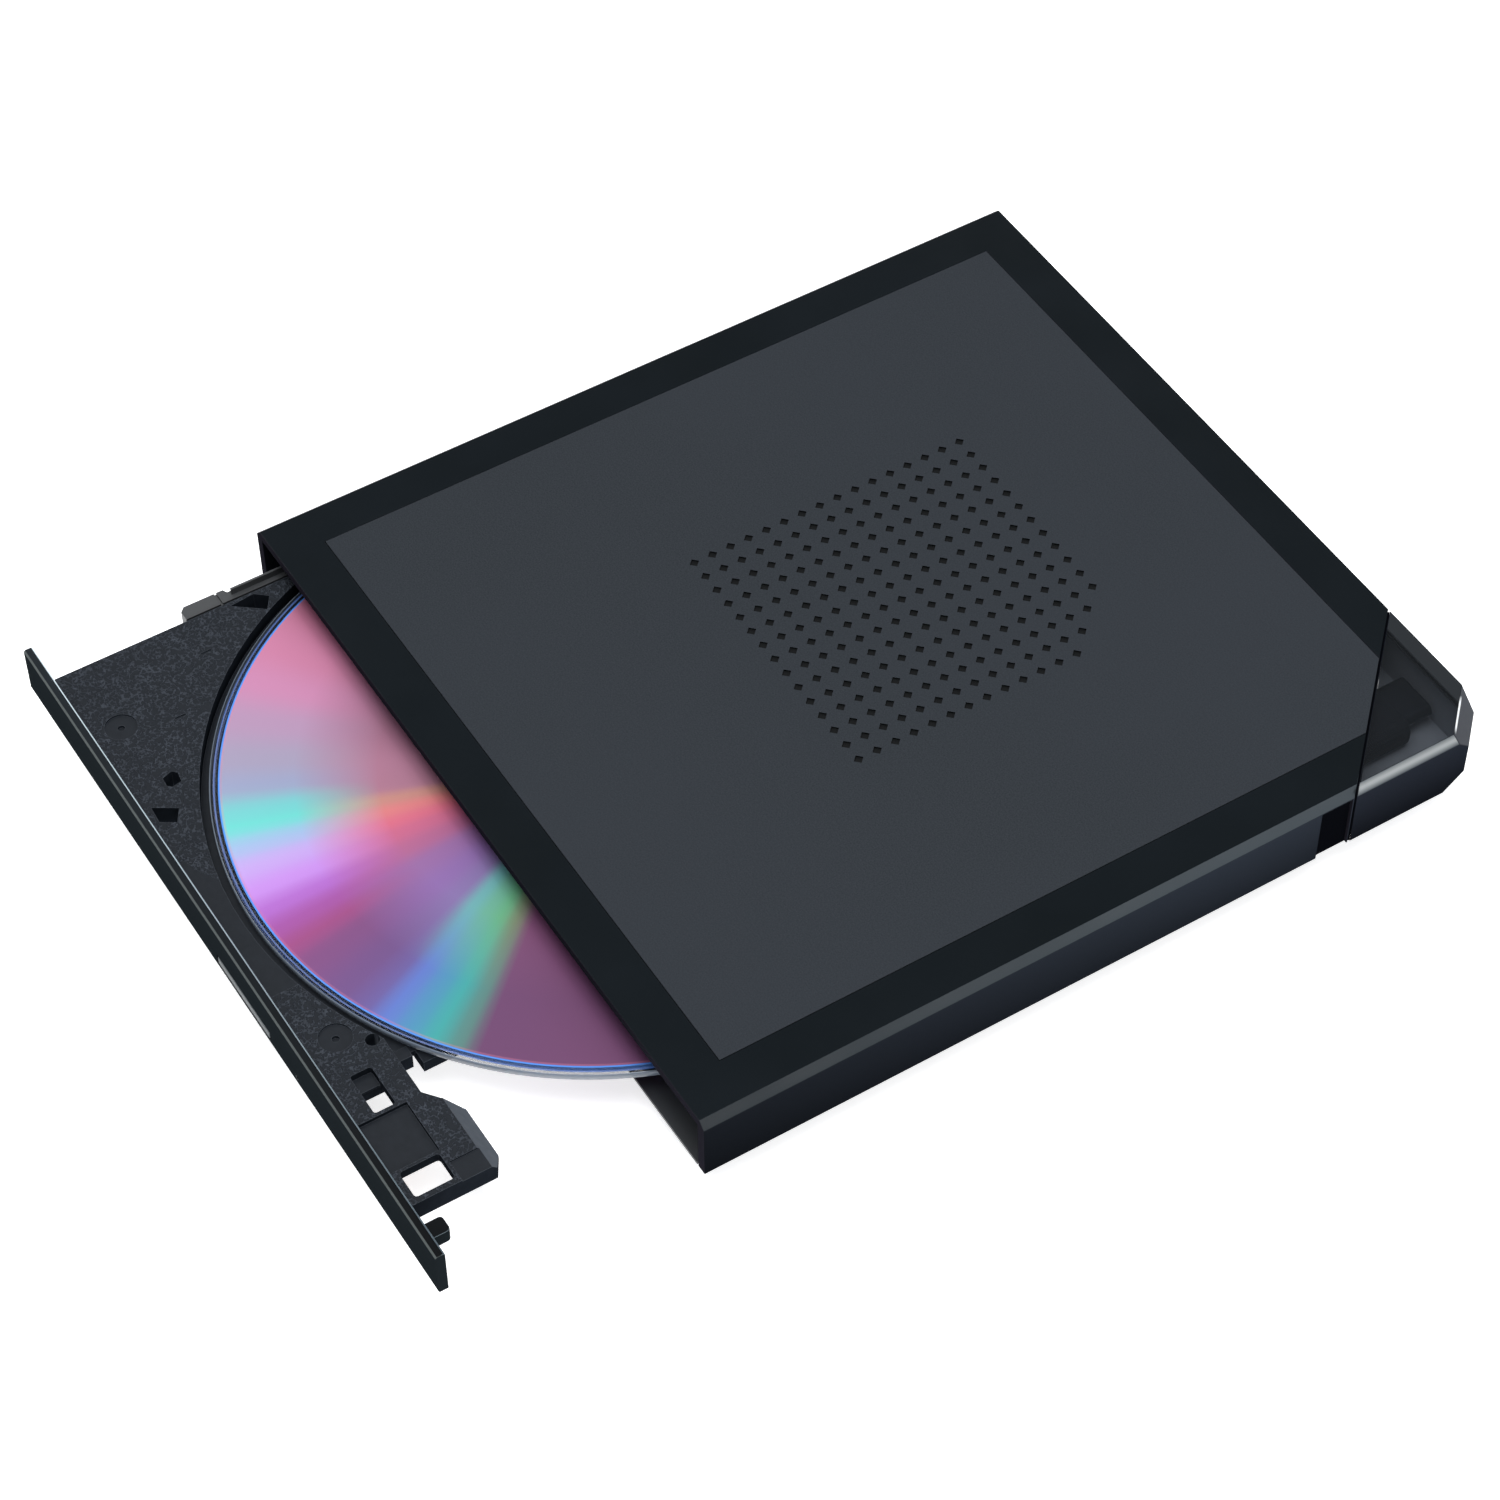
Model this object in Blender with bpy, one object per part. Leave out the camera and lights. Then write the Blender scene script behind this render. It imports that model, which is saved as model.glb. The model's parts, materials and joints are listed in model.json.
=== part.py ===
"""Slim external optical drive with its tray drawn out and a disc on the hub.

Every size below is in millimetres; add_part turns a shape into metres.
Shapes are written in the closed drive's frame: x = 0 is the middle of the case,
y = 0 its front face, z = 0 the surface it stands on. The moving groups are then
shifted forward by the distance that the tray stands open.
"""
import math

import bmesh
import bpy
from mathutils import Matrix, Vector

MM = 0.001
GAP = 0.3

# Case
CASE_WIDTH = 137.6
CASE_DEPTH = 142.8
CASE_TOP = 17.4
CASE_BOTTOM = 5.4
CASE_WALL = 1.8
TOP_WALL = 1.7
EDGE_CHAMFER = 1.3
HALF = CASE_WIDTH / 2
INNER_HALF = HALF - CASE_WALL
INNER_TOP = CASE_TOP - TOP_WALL
INNER_REAR = CASE_DEPTH - CASE_WALL

# How far the tray stands open at rest, and the runners' share of its travel
TRAY_OPEN = 42.4
RUNNER_RATIO = 0.75

# Rear right corner: 45 degree lines are given by x + y
CAP_LINE = 184.4
BAY_LINE = 160.0
BAY_WALL = 2.0
BAY_FLOOR = 6.2
CHASSIS_LINE = 157.4
CAP_CORNER = 206.6
NOTCH_FRONT = 109.6
NOTCH_REAR = 115.4
NOTCH_TOP = 15.9

# Lower case
PLATE_LOW = 1.0
PLATE_HIGH = 2.2
PLATE_INSET = 4.5
RING_INSET = 10.8
RING_WALL = 1.5
RIM_HIGH = 6.0
FOOT_RADIUS = 4.5
FOOT_HEIGHT = 1.3

# Drive mechanism levels
CHASSIS_LEFT = -66.2
CHASSIS_RIGHT = 64.4
CHASSIS_FRONT = 3.4
CHASSIS_REAR = 139.6
CHASSIS_LOW = 6.3
SHEET = 0.5
FLOOR = CHASSIS_LOW + SHEET
COVER_LOW = 14.9

# Tray, bezel and disc
TRAY_TOP = 12.0
TRAY_LOW = 8.3
TRAY_LEFT = -61.2
TRAY_RIGHT = 30.0
TRAY_FRONT = 2.4
TRAY_REAR = 133.5
TRAY_LINE = 156.2
RECESS_RADIUS = 61.4
RECESS_FLOOR = 9.4
BEZEL_HALF = 66.6
BEZEL_LOW = 6.3
BEZEL_TOP = 15.1
BEZEL_THICK = 1.6
DISC_X = -2.2
DISC_Y = 66.7
DISC_RADIUS = 60.0
DISC_HOLE = 7.5
DISC_LOW = 10.35
DISC_TOP = 11.55

# Cable
CABLE_RADIUS = 1.4
GROOVE_Z = 3.8
PLUG_X = 53.2
PLUG_Z = 9.3


def clear_scene():
    for item in list(bpy.data.objects):
        bpy.data.objects.remove(item, do_unlink=True)


def material(name, colour, roughness, metallic=0.0, alpha=1.0):
    found = bpy.data.materials.get(name)
    if found:
        return found
    made = bpy.data.materials.new(name)
    made.use_nodes = True
    shader = made.node_tree.nodes["Principled BSDF"]
    shader.inputs["Base Color"].default_value = (*colour, 1.0)
    shader.inputs["Roughness"].default_value = roughness
    shader.inputs["Metallic"].default_value = metallic
    shader.inputs["Alpha"].default_value = alpha
    return made


def gloss_black():
    return material("gloss_black", (0.010, 0.012, 0.013), 0.22)


def slate_matte():
    return material("slate_matte", (0.045, 0.051, 0.060), 0.62)


def smoked_plastic():
    return material("smoked_plastic", (0.035, 0.042, 0.050), 0.15, alpha=0.55)


def tray_plastic():
    return material("tray_plastic", (0.030, 0.034, 0.038), 0.58)


def bezel_plastic():
    return material("bezel_plastic", (0.012, 0.014, 0.016), 0.35)


def grey_plastic():
    return material("grey_plastic", (0.16, 0.18, 0.18), 0.45)


def white_plastic():
    return material("white_plastic", (0.62, 0.61, 0.58), 0.5)


def rubber():
    return material("rubber", (0.018, 0.018, 0.019), 0.85)


def sheet_steel():
    return material("sheet_steel", (0.55, 0.56, 0.57), 0.38, 1.0)


def bright_steel():
    return material("bright_steel", (0.66, 0.66, 0.67), 0.22, 1.0)


def board_green():
    return material("board_green", (0.020, 0.090, 0.045), 0.5)


def chip_black():
    return material("chip_black", (0.015, 0.015, 0.016), 0.6)


def copper():
    return material("copper", (0.72, 0.38, 0.20), 0.35, 1.0)


def amber_film():
    return material("amber_film", (0.42, 0.20, 0.05), 0.4)


def lens_glass():
    return material("lens_glass", (0.30, 0.36, 0.52), 0.05, alpha=0.6)


def disc_surface():
    return material("disc_surface", (0.52, 0.50, 0.62), 0.18, 0.9)


def add_group(name, parent=None, pivot=(0.0, 0.0, 0.0), shift=(0.0, 0.0, 0.0)):
    """An empty on a moving body's joint axis; pivot is its place in the closed frame."""
    empty = bpy.data.objects.new(name, None)
    bpy.context.collection.objects.link(empty)
    base = Vector(parent["pivot"]) if parent else Vector((0, 0, 0))
    empty["pivot"] = list(pivot)
    empty.parent = parent
    empty.location = (Vector(pivot) - base + Vector(shift)) * MM
    return empty


def add_object(name, data, group, pivot):
    item = bpy.data.objects.new(name, data)
    bpy.context.collection.objects.link(item)
    item.parent = group
    item.location = (Vector(pivot) - Vector(group["pivot"])) * MM
    return item


def add_mesh(name, shape, group, pivot):
    bmesh.ops.recalc_face_normals(shape, faces=shape.faces)
    bmesh.ops.translate(shape, verts=shape.verts, vec=-Vector(pivot))
    bmesh.ops.scale(shape, verts=shape.verts, vec=(MM, MM, MM))
    mesh = bpy.data.meshes.new(name)
    shape.to_mesh(mesh)
    shape.free()
    return add_object(name, mesh, group, pivot)


def add_part(name, shape, finish, group, pivot=None, smooth=False):
    pivot = group["pivot"] if pivot is None else pivot
    part = add_mesh(name, shape, group, pivot)
    part.data.materials.append(finish)
    if smooth:
        part.data.shade_smooth()
        part.data.set_sharp_from_angle(angle=math.radians(35))
    return part


def boolean(part, shapes, operation, label):
    """One modifier for each list of shapes that don't touch each other."""
    tool_shape = merged(shapes)
    tool = add_mesh(f"{part.name}_{label}", tool_shape, part.parent, part.parent["pivot"])
    tool.hide_render = True
    tool.display_type = "WIRE"
    step = part.modifiers.new(label, "BOOLEAN")
    step.operation = operation
    step.solver = "EXACT"
    step.object = tool
    return part


def cut(part, *shapes, label="cut"):
    return boolean(part, shapes, "DIFFERENCE", label)


def fuse(part, *shapes, label="fuse"):
    return boolean(part, shapes, "UNION", label)


def bevel(part, width, segments=2, angle=40):
    step = part.modifiers.new("bevel", "BEVEL")
    step.width = width * MM
    step.segments = segments
    step.limit_method = "ANGLE"
    step.angle_limit = math.radians(angle)
    step.use_clamp_overlap = True
    return part


def merged(shapes):
    whole = bmesh.new()
    for shape in shapes:
        bmesh.ops.recalc_face_normals(shape, faces=shape.faces)
        mesh = bpy.data.meshes.new("shape")
        shape.to_mesh(mesh)
        shape.free()
        whole.from_mesh(mesh)
        bpy.data.meshes.remove(mesh)
    return whole


def box(low, high):
    shape = bmesh.new()
    bmesh.ops.create_cube(shape, size=1.0)
    size = Vector(high) - Vector(low)
    middle = (Vector(high) + Vector(low)) / 2
    bmesh.ops.scale(shape, verts=shape.verts, vec=size)
    bmesh.ops.translate(shape, verts=shape.verts, vec=middle)
    return shape


def prism(outline, low, high, axis="z"):
    """An outline of (a, b) points extruded from low to high along axis."""
    place = {
        "z": lambda a, b, c: (a, b, c),
        "y": lambda a, b, c: (a, c, b),
        "x": lambda a, b, c: (c, a, b),
    }[axis]
    shape = bmesh.new()
    base = [shape.verts.new(place(a, b, low)) for a, b in outline]
    face = shape.faces.new(base)
    grown = bmesh.ops.extrude_face_region(shape, geom=[face])
    top = [item for item in grown["geom"] if isinstance(item, bmesh.types.BMVert)]
    rise = Vector(place(0, 0, high - low))
    bmesh.ops.translate(shape, verts=top, vec=rise)
    bmesh.ops.recalc_face_normals(shape, faces=shape.faces)
    return shape


def arc(centre, radius, start, end, count):
    points = []
    for step in range(count + 1):
        angle = math.radians(start + (end - start) * step / count)
        points.append((centre[0] + radius * math.cos(angle), centre[1] + radius * math.sin(angle)))
    return points


def circle(centre, radius, count):
    return arc(centre, radius, 0, 360, count)[:-1]


def cylinder(centre, radius, low, high, count=24, axis="z"):
    return prism(circle(centre, radius, count), low, high, axis)


def rounded(low, high, radius, count=3):
    """A rectangle from corner low to corner high with rounded corners."""
    x0, y0 = low
    x1, y1 = high
    points = arc((x1 - radius, y1 - radius), radius, 0, 90, count)
    points += arc((x0 + radius, y1 - radius), radius, 90, 180, count)
    points += arc((x0 + radius, y0 + radius), radius, 180, 270, count)
    points += arc((x1 - radius, y0 + radius), radius, 270, 360, count)
    return points


def turned(profile, centre=(0.0, 0.0), count=32):
    """A ring swept from a closed (radius, z) profile that stays off the axis."""
    shape = bmesh.new()
    loops = []
    for step in range(count):
        angle = 2 * math.pi * step / count
        direction = (math.cos(angle), math.sin(angle))
        loop = [
            shape.verts.new((centre[0] + r * direction[0], centre[1] + r * direction[1], z))
            for r, z in profile
        ]
        loops.append(loop)
    for step in range(count):
        here, there = loops[step], loops[(step + 1) % count]
        for index in range(len(profile)):
            after = (index + 1) % len(profile)
            shape.faces.new((here[index], here[after], there[after], there[index]))
    bmesh.ops.recalc_face_normals(shape, faces=shape.faces)
    return shape


def cut_corner(left, front, right, rear, line):
    """A rectangle whose rear right corner is cut where x + y passes line."""
    return [(left, front), (right, front), (right, line - right), (line - rear, rear), (left, rear)]


def beyond(line, reach=60.0):
    """A triangle that holds everything past the 45 degree line."""
    middle = line / 2
    far = middle + reach
    near = middle - reach
    return [(near, far), (far, near), (far, far)]


def smooth_route(points, spacing):
    """Points read at an even spacing from a smooth curve through the given ones."""
    dense = []
    last = len(points) - 1
    steps = 24
    for index in range(last):
        p0 = Vector(points[max(index - 1, 0)])
        p1 = Vector(points[index])
        p2 = Vector(points[index + 1])
        p3 = Vector(points[min(index + 2, last)])
        for step in range(steps):
            t = step / steps
            dense.append(
                0.5 * (2 * p1 + (p2 - p0) * t + (2 * p0 - 5 * p1 + 4 * p2 - p3) * t ** 2
                       + (3 * p1 - p0 - 3 * p2 + p3) * t ** 3)
            )
    dense.append(Vector(points[last]))
    lengths = [0.0]
    for index in range(1, len(dense)):
        lengths.append(lengths[-1] + (dense[index] - dense[index - 1]).length)
    count = max(2, round(lengths[-1] / spacing))
    route = []
    place = 0
    for step in range(count + 1):
        target = lengths[-1] * step / count
        while place < len(lengths) - 2 and lengths[place + 1] < target:
            place += 1
        span = lengths[place + 1] - lengths[place]
        route.append(dense[place].lerp(dense[place + 1], (target - lengths[place]) / span))
    return route


def add_tube(name, points, radius, spacing, finish, group):
    curve = bpy.data.curves.new(name, "CURVE")
    curve.dimensions = "3D"
    curve.bevel_depth = radius * MM
    curve.bevel_resolution = 2
    curve.use_fill_caps = True
    route = smooth_route(points, spacing)
    spline = curve.splines.new("POLY")
    spline.points.add(len(route) - 1)
    for point, place in zip(spline.points, route):
        point.co = (*(place - Vector(group["pivot"])) * MM, 1.0)
    curve.materials.append(finish)
    return add_object(name, curve, group, group["pivot"])


# ---------------------------------------------------------------- case

PANEL_HALF = 60.2
PANEL_FRONT = 7.9
PANEL_REAR = 135.3
PANEL_LINE = 184.4
PANEL_POCKET = 0.8
PANEL_THICK = 0.5


def upper_case(fixed):
    half, edge = HALF, EDGE_CHAMFER
    outline = [
        (-half, CASE_BOTTOM), (half, CASE_BOTTOM), (half, CASE_TOP - edge), (half - edge, CASE_TOP),
        (-half + edge, CASE_TOP), (-half, CASE_TOP - edge),
    ]
    part = add_part("upper_case", prism(outline, 0, CASE_DEPTH, "y"), gloss_black(), fixed)
    drive_room = cut_corner(-INNER_HALF, -1, INNER_HALF, INNER_REAR, BAY_LINE - BAY_WALL)
    bay_room = [
        (BAY_LINE - INNER_REAR, INNER_REAR), (INNER_HALF, BAY_LINE - INNER_HALF),
        (INNER_HALF, CAP_LINE + 20 - INNER_HALF), (CAP_LINE + 20 - INNER_REAR, INNER_REAR),
    ]
    cut(part, prism(drive_room, CASE_BOTTOM - 1, INNER_TOP), prism(bay_room, BAY_FLOOR, INNER_TOP))
    cut(part, prism(beyond(CAP_LINE), CASE_BOTTOM - 1, CASE_TOP + 1), label="corner")
    pocket = cut_corner(-PANEL_HALF, PANEL_FRONT, PANEL_HALF, PANEL_REAR, PANEL_LINE)
    notch = box((INNER_HALF - 1, NOTCH_FRONT, CASE_BOTTOM - 1), (HALF + 1, NOTCH_REAR, NOTCH_TOP))
    cable_hole = [(63.0, 99.0), (59.0, 99.0), (51.2, 114.8), (57.3, 116.8)]
    cut(part, prism(pocket, CASE_TOP - PANEL_POCKET, CASE_TOP + 1), notch,
        prism(cable_hole, CASE_BOTTOM - 1, BAY_FLOOR + 1), label="pocket")
    return part


def top_panel(fixed):
    inset = 0.1
    outline = cut_corner(-PANEL_HALF + inset, PANEL_FRONT + inset, PANEL_HALF - inset, PANEL_REAR - inset,
                         PANEL_LINE - inset)
    low = CASE_TOP - PANEL_THICK
    return add_part("top_panel", prism(outline, low, CASE_TOP), slate_matte(), fixed)


def lower_case(fixed):
    plate = cut_corner(-HALF + PLATE_INSET, PLATE_INSET, HALF - PLATE_INSET, CASE_DEPTH - PLATE_INSET, 196.0)
    part = add_part("lower_case", prism(plate, PLATE_LOW, PLATE_HIGH), slate_matte(), fixed)
    rim = cut_corner(-INNER_HALF + GAP, 0, INNER_HALF - GAP, INNER_REAR - GAP, BAY_LINE - BAY_WALL - 0.5)
    fuse(part, prism(ring_outline(0.0), PLATE_HIGH - 0.4, RIM_HIGH), label="ring")
    fuse(part, prism(rim, CASE_BOTTOM, RIM_HIGH), label="rim")
    cut(part, prism(ring_outline(RING_WALL), PLATE_HIGH, RIM_HIGH + 1), label="inside")
    cable_slot = box((-13.0, RING_REAR - RING_WALL - 1, PLATE_HIGH), (6, RING_REAR + 1, CASE_BOTTOM - 0.1))
    socket_top = FOOT_HEIGHT + GAP
    sockets = [cylinder(place, FOOT_RADIUS + GAP, PLATE_LOW - 1, socket_top, 24) for place in foot_places()]
    holes = [cylinder((x, y), SCREW_HOLE, PLATE_LOW - 1, RIM_HIGH + 1, 16) for x, y in screw_places()]
    cut(part, cable_slot, *sockets, label="sockets")
    posts = [cylinder((x, y), SCREW_BOSS, PLATE_HIGH - 0.4, RIM_HIGH, 20) for x, y in screw_places()]
    fuse(part, *posts, label="bosses")
    cut(part, *holes, label="holes")
    heads = [cylinder(place, SCREW_HEAD + GAP, PLATE_LOW - 1, SCREW_SEAT, 20) for place in screw_places()]
    cut(part, *heads, label="heads")
    return part


RING_FRONT = 8.0
RING_REAR = 134.0
RING_CORNER = 7.0


def ring_outline(shrink):
    """The wall inside the cable groove; its corners are cut so that the cable can turn."""
    half = HALF - RING_INSET - shrink
    front = RING_FRONT + shrink
    rear = RING_REAR - shrink
    corner = RING_CORNER - shrink * (2 - math.sqrt(2))
    line = CHASSIS_LINE - 1 - shrink * math.sqrt(2)
    return [
        (-half, front + corner), (-half + corner, front), (half - corner, front), (half, front + corner),
        (half, line - half), (line - rear, rear), (-half + corner, rear), (-half, rear - corner),
    ]


def foot_places():
    return [(-55.0, 14.0), (55.0, 14.0), (-55.0, 128.0), (38.0, 128.0)]


SCREW_HOLE = 1.3
SCREW_BOSS = 3.2
SCREW_HEAD = 2.0
SCREW_SEAT = 2.9
SCREW_SHANK = 0.9
SCREW_HEAD_LOW = 1.4


def screw_places():
    return [(-44.0, 18.0), (44.0, 18.0), (-44.0, 120.0), (26.0, 120.0)]


def rubber_feet(fixed):
    for number, (x, y) in enumerate(foot_places(), 1):
        shape = prism(circle((x, y), FOOT_RADIUS, 24), 0.0, FOOT_HEIGHT)
        add_part(f"rubber_foot_{number}", shape, rubber(), fixed, (x, y, 0), smooth=True)


def case_screws(fixed):
    recess = 0.5
    for number, (x, y) in enumerate(screw_places(), 1):
        seat = SCREW_SEAT - 0.1
        profile = [(recess, SCREW_HEAD_LOW), (SCREW_HEAD, SCREW_HEAD_LOW), (SCREW_HEAD, seat - 0.4),
                   (SCREW_SHANK, seat), (SCREW_SHANK, FLOOR + 0.2), (recess, FLOOR + 0.2)]
        shape = turned(profile, (x, y), 16)
        add_part(f"case_screw_{number}", shape, bright_steel(), fixed, (x, y, 0), smooth=True)


def corner_cap(fixed):
    line = CAP_LINE + 0.45
    wall = 1.2
    outer = [(line - CASE_DEPTH, CASE_DEPTH), (HALF, line - HALF), (HALF, CAP_CORNER - HALF),
             (CAP_CORNER - CASE_DEPTH, CASE_DEPTH)]
    part = add_part("corner_cap", prism(outer, CASE_BOTTOM, CASE_TOP), smoked_plastic(), fixed)
    depth = CASE_DEPTH - wall
    side = HALF - wall
    corner = CAP_CORNER - 3.0
    open_line = line - 4
    room = [(open_line - depth, depth), (side, open_line - side), (side, corner - side),
            (corner - depth, depth)]
    cut(part, prism(room, BAY_FLOOR, CASE_TOP - wall), label="room")
    edge = EDGE_CHAMFER
    right_edge = prism([(HALF - edge, CASE_TOP), (HALF + 1, CASE_TOP - edge - 1), (HALF + 1, CASE_TOP + 1),
                        (HALF - edge, CASE_TOP + 1)], 80, CASE_DEPTH + 5, "y")
    cut(part, right_edge, label="edge")
    cut(part, corner_wedge(CASE_TOP, 1), corner_wedge(CASE_BOTTOM, -1), label="wedge")
    return part


def corner_wedge(edge, upward):
    """Removes a sloping facet along the top or the bottom edge of the cap's 45 degree corner."""
    slope_in = 2.6 * math.sqrt(2)
    slope_down = 3.0
    shape = bmesh.new()
    reach = 20.0
    middle = CAP_CORNER / 2
    across = CASE_DEPTH - CAP_CORNER / 2
    start = Vector((middle - across - reach, middle + across + reach, 0))
    end = Vector((middle + 40, middle - 40, 0))
    out = Vector((1, 1, 0)).normalized()
    inner = -out * slope_in / math.sqrt(2)
    beyond_it = out * 8
    slope_end = edge - upward * slope_down
    clear = edge + upward * 2
    corners = [(inner, edge), (out * 0.0, slope_end), (beyond_it, slope_end), (beyond_it, clear),
               (inner, clear)]
    rows = []
    for origin in (start, end):
        rows.append([shape.verts.new(origin + offset + Vector((0, 0, z))) for offset, z in corners])
    count = len(corners)
    for index in range(count):
        after = (index + 1) % count
        shape.faces.new((rows[0][index], rows[0][after], rows[1][after], rows[1][index]))
    shape.faces.new(rows[0])
    shape.faces.new(list(reversed(rows[1])))
    bmesh.ops.recalc_face_normals(shape, faces=shape.faces)
    return shape


# ---------------------------------------------------------------- fixed parts of the drive

def chassis(fixed):
    outline = cut_corner(CHASSIS_LEFT, CHASSIS_FRONT, CHASSIS_RIGHT, CHASSIS_REAR, CHASSIS_LINE)
    part = add_part("chassis", prism(outline, CHASSIS_LOW, COVER_LOW - GAP - 0.2), sheet_steel(), fixed)
    t = SHEET
    room = cut_corner(CHASSIS_LEFT + t, CHASSIS_FRONT - 5, CHASSIS_RIGHT - t, CHASSIS_REAR - t,
                      CHASSIS_LINE - t * 1.42)
    cut(part, prism(room, FLOOR, COVER_LOW + 1), label="room")
    holes = [cylinder((x, y), SCREW_HOLE, CHASSIS_LOW - 1, FLOOR + 1, 12) for x, y in screw_places()]
    window = prism(rounded((-34.0, 24.0), (18.0, 46.0), 4.0), CHASSIS_LOW - 1, FLOOR + 1)
    cut(part, window, *holes, label="holes")
    return part


def drive_cover(fixed):
    outline = cut_corner(CHASSIS_LEFT, CHASSIS_FRONT, CHASSIS_RIGHT, CHASSIS_REAR, CHASSIS_LINE)
    part = add_part("drive_cover", prism(outline, COVER_LOW, COVER_LOW + 0.4), sheet_steel(), fixed)
    slots = [prism(rounded((x - 12, 20), (x + 12, 23), 1.4), COVER_LOW - 1, COVER_LOW + 1) for x in (-34, 30)]
    cut(part, *slots, label="slots")
    return part


GUIDE_LOW = 11.1
GUIDE_HIGH = 13.8
LATCH_POST = (46.8, 14.1)


def guide_rails(fixed):
    left_bar = box((-65.4, 3.8, GUIDE_LOW), (-62.6, 100, GUIDE_HIGH))
    left = add_part("guide_rail_left", left_bar, white_plastic(), fixed)
    cut(left, box((-64.3, 2, GUIDE_LOW - 1), (-63.1, 102, GUIDE_LOW + 1.3)), label="keyway")
    right_bar = box((36.4, 21.5, FLOOR + GAP), (38.7, 100, 9.8))
    right = add_part("guide_rail_right", right_bar, white_plastic(), fixed)
    cut(right, box((35.0, 20, 8.0), (37.5, 102, 9.0)), label="keyway")


def latch_post(fixed):
    base_top = FLOOR + GAP + 0.1
    foot = FLOOR + GAP
    profile = [(0.3, foot), (2.0, foot), (2.0, base_top), (1.1, base_top), (1.1, 7.9), (0.3, 7.9)]
    post = turned(profile, LATCH_POST, 20)
    add_part("latch_post", post, bright_steel(), fixed, (*LATCH_POST, 0), smooth=True)


def main_board(fixed):
    outline = [(39.6, 22), (62.5, 22), (62.5, 90), (56, 96.5), (39.6, 96.5)]
    board = add_part("main_board", prism(outline, 7.1, 7.9), board_green(), fixed)
    ports = [cylinder((x, y), 1.5, 6, 9, 16) for x, y in ((43, 26), (59, 26), (43, 92))]
    cut(board, *ports, label="holes")
    add_part("main_chip", box((44.5, 52, 8.2), (57.5, 65, 9.4)), chip_black(), fixed)
    socket = add_part("flex_socket", box((40.4, 70, 8.2), (44.5, 88, 9.8)), white_plastic(), fixed)
    cut(socket, box((39, 71.2, 8.8), (43.4, 86.8, 9.3)), label="mouth")


def bridge_board(fixed):
    board = add_part("bridge_board", prism(rounded((-28, 84), (6, 108), 1.0), 3.0, 3.9), board_green(), fixed)
    holes = [cylinder((x, y), 1.2, 2, 5, 12) for x, y in ((-25, 87), (3, 87))]
    cut(board, *holes, label="holes")
    add_part("usb_chip", box((-18, 92, 4.2), (-10, 100, 5.2)), chip_black(), fixed)


# ---------------------------------------------------------------- captive cable

def cable_route():
    """By hand: out of the lower case, once round its groove, and up into the rear right bay."""
    z = GROOVE_Z
    return [
        (2.0, 113.3, z), (2.0, 118.0, z), (1.6, 123.0, z), (-0.6, 128.4, z), (-5.0, 132.8, z),
        (-11.0, 135.6, z), (-20.0, 136.4, z), (-30.0, 136.4, z), (-40.0, 136.4, z), (-50.0, 136.2, z),
        (-57.0, 133.6, z), (-60.6, 127.5, z),
        (-61.4, 118.0, z), (-61.4, 95.0, z), (-61.4, 70.0, z), (-61.4, 45.0, z), (-61.2, 25.0, z),
        (-60.4, 15.0, z), (-56.6, 8.6, z), (-50.0, 6.0, z), (-40.0, 5.7, z), (-20.0, 5.7, z),
        (0.0, 5.7, z), (20.0, 5.7, z), (40.0, 5.7, z), (50.0, 6.0, z), (56.6, 8.6, z),
        (60.4, 15.0, z), (61.2, 25.0, z), (61.4, 45.0, z), (61.4, 70.0, z), (61.4, 86.0, z),
        (61.3, 94.0, z), (60.6, 100.0, z + 0.1), (58.4, 106.5, 6.0), (55.4, 112.5, 8.4),
        (PLUG_X + 0.2, 117.1, PLUG_Z),
    ]


def usb_cable(fixed):
    add_tube("usb_cable", cable_route(), CABLE_RADIUS, 6.0, rubber(), fixed)
    sleeve = prism(rounded((-0.2, 2.6), (4.2, 5.4), 1.0), 108.3, 113.0, "y")
    boot = add_part("cable_boot", sleeve, rubber(), fixed)
    cut(boot, cylinder((2.0, GROOVE_Z), 0.8, 107.0, 111.0, 12, "y"), label="bore")


def usb_plug(fixed):
    x, z = PLUG_X, PLUG_Z
    body = prism(rounded((x - 6.2, z - 2.7), (x + 6.2, z + 2.7), 2.0, 4), 118.4, 134.6, "y")
    overmould = add_part("plug_overmould", body, rubber(), fixed)
    neck = prism(rounded((x - 2.3, z - 2.1), (x + 2.3, z + 2.1), 1.9, 4), 117.9, 120, "y")
    fuse(overmould, neck, label="neck")
    bevel(overmould, 0.5, 2)
    sleeve = prism(rounded((x - 4.15, z - 1.25), (x + 4.15, z + 1.25), 1.24, 6), 134.9, 140.4, "y")
    shell = add_part("plug_shell", sleeve, bright_steel(), fixed)
    mouth = prism(rounded((x - 3.85, z - 0.95), (x + 3.85, z + 0.95), 0.94, 6), 135.6, 141, "y")
    cut(shell, mouth, label="mouth")
    fuse(shell, box((x - 3.2, 135.3, z - 0.3), (x + 3.2, 139.9, z + 0.3)), label="tongue")


# ---------------------------------------------------------------- runners

RUNNER_FRONT = 15.4


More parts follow.
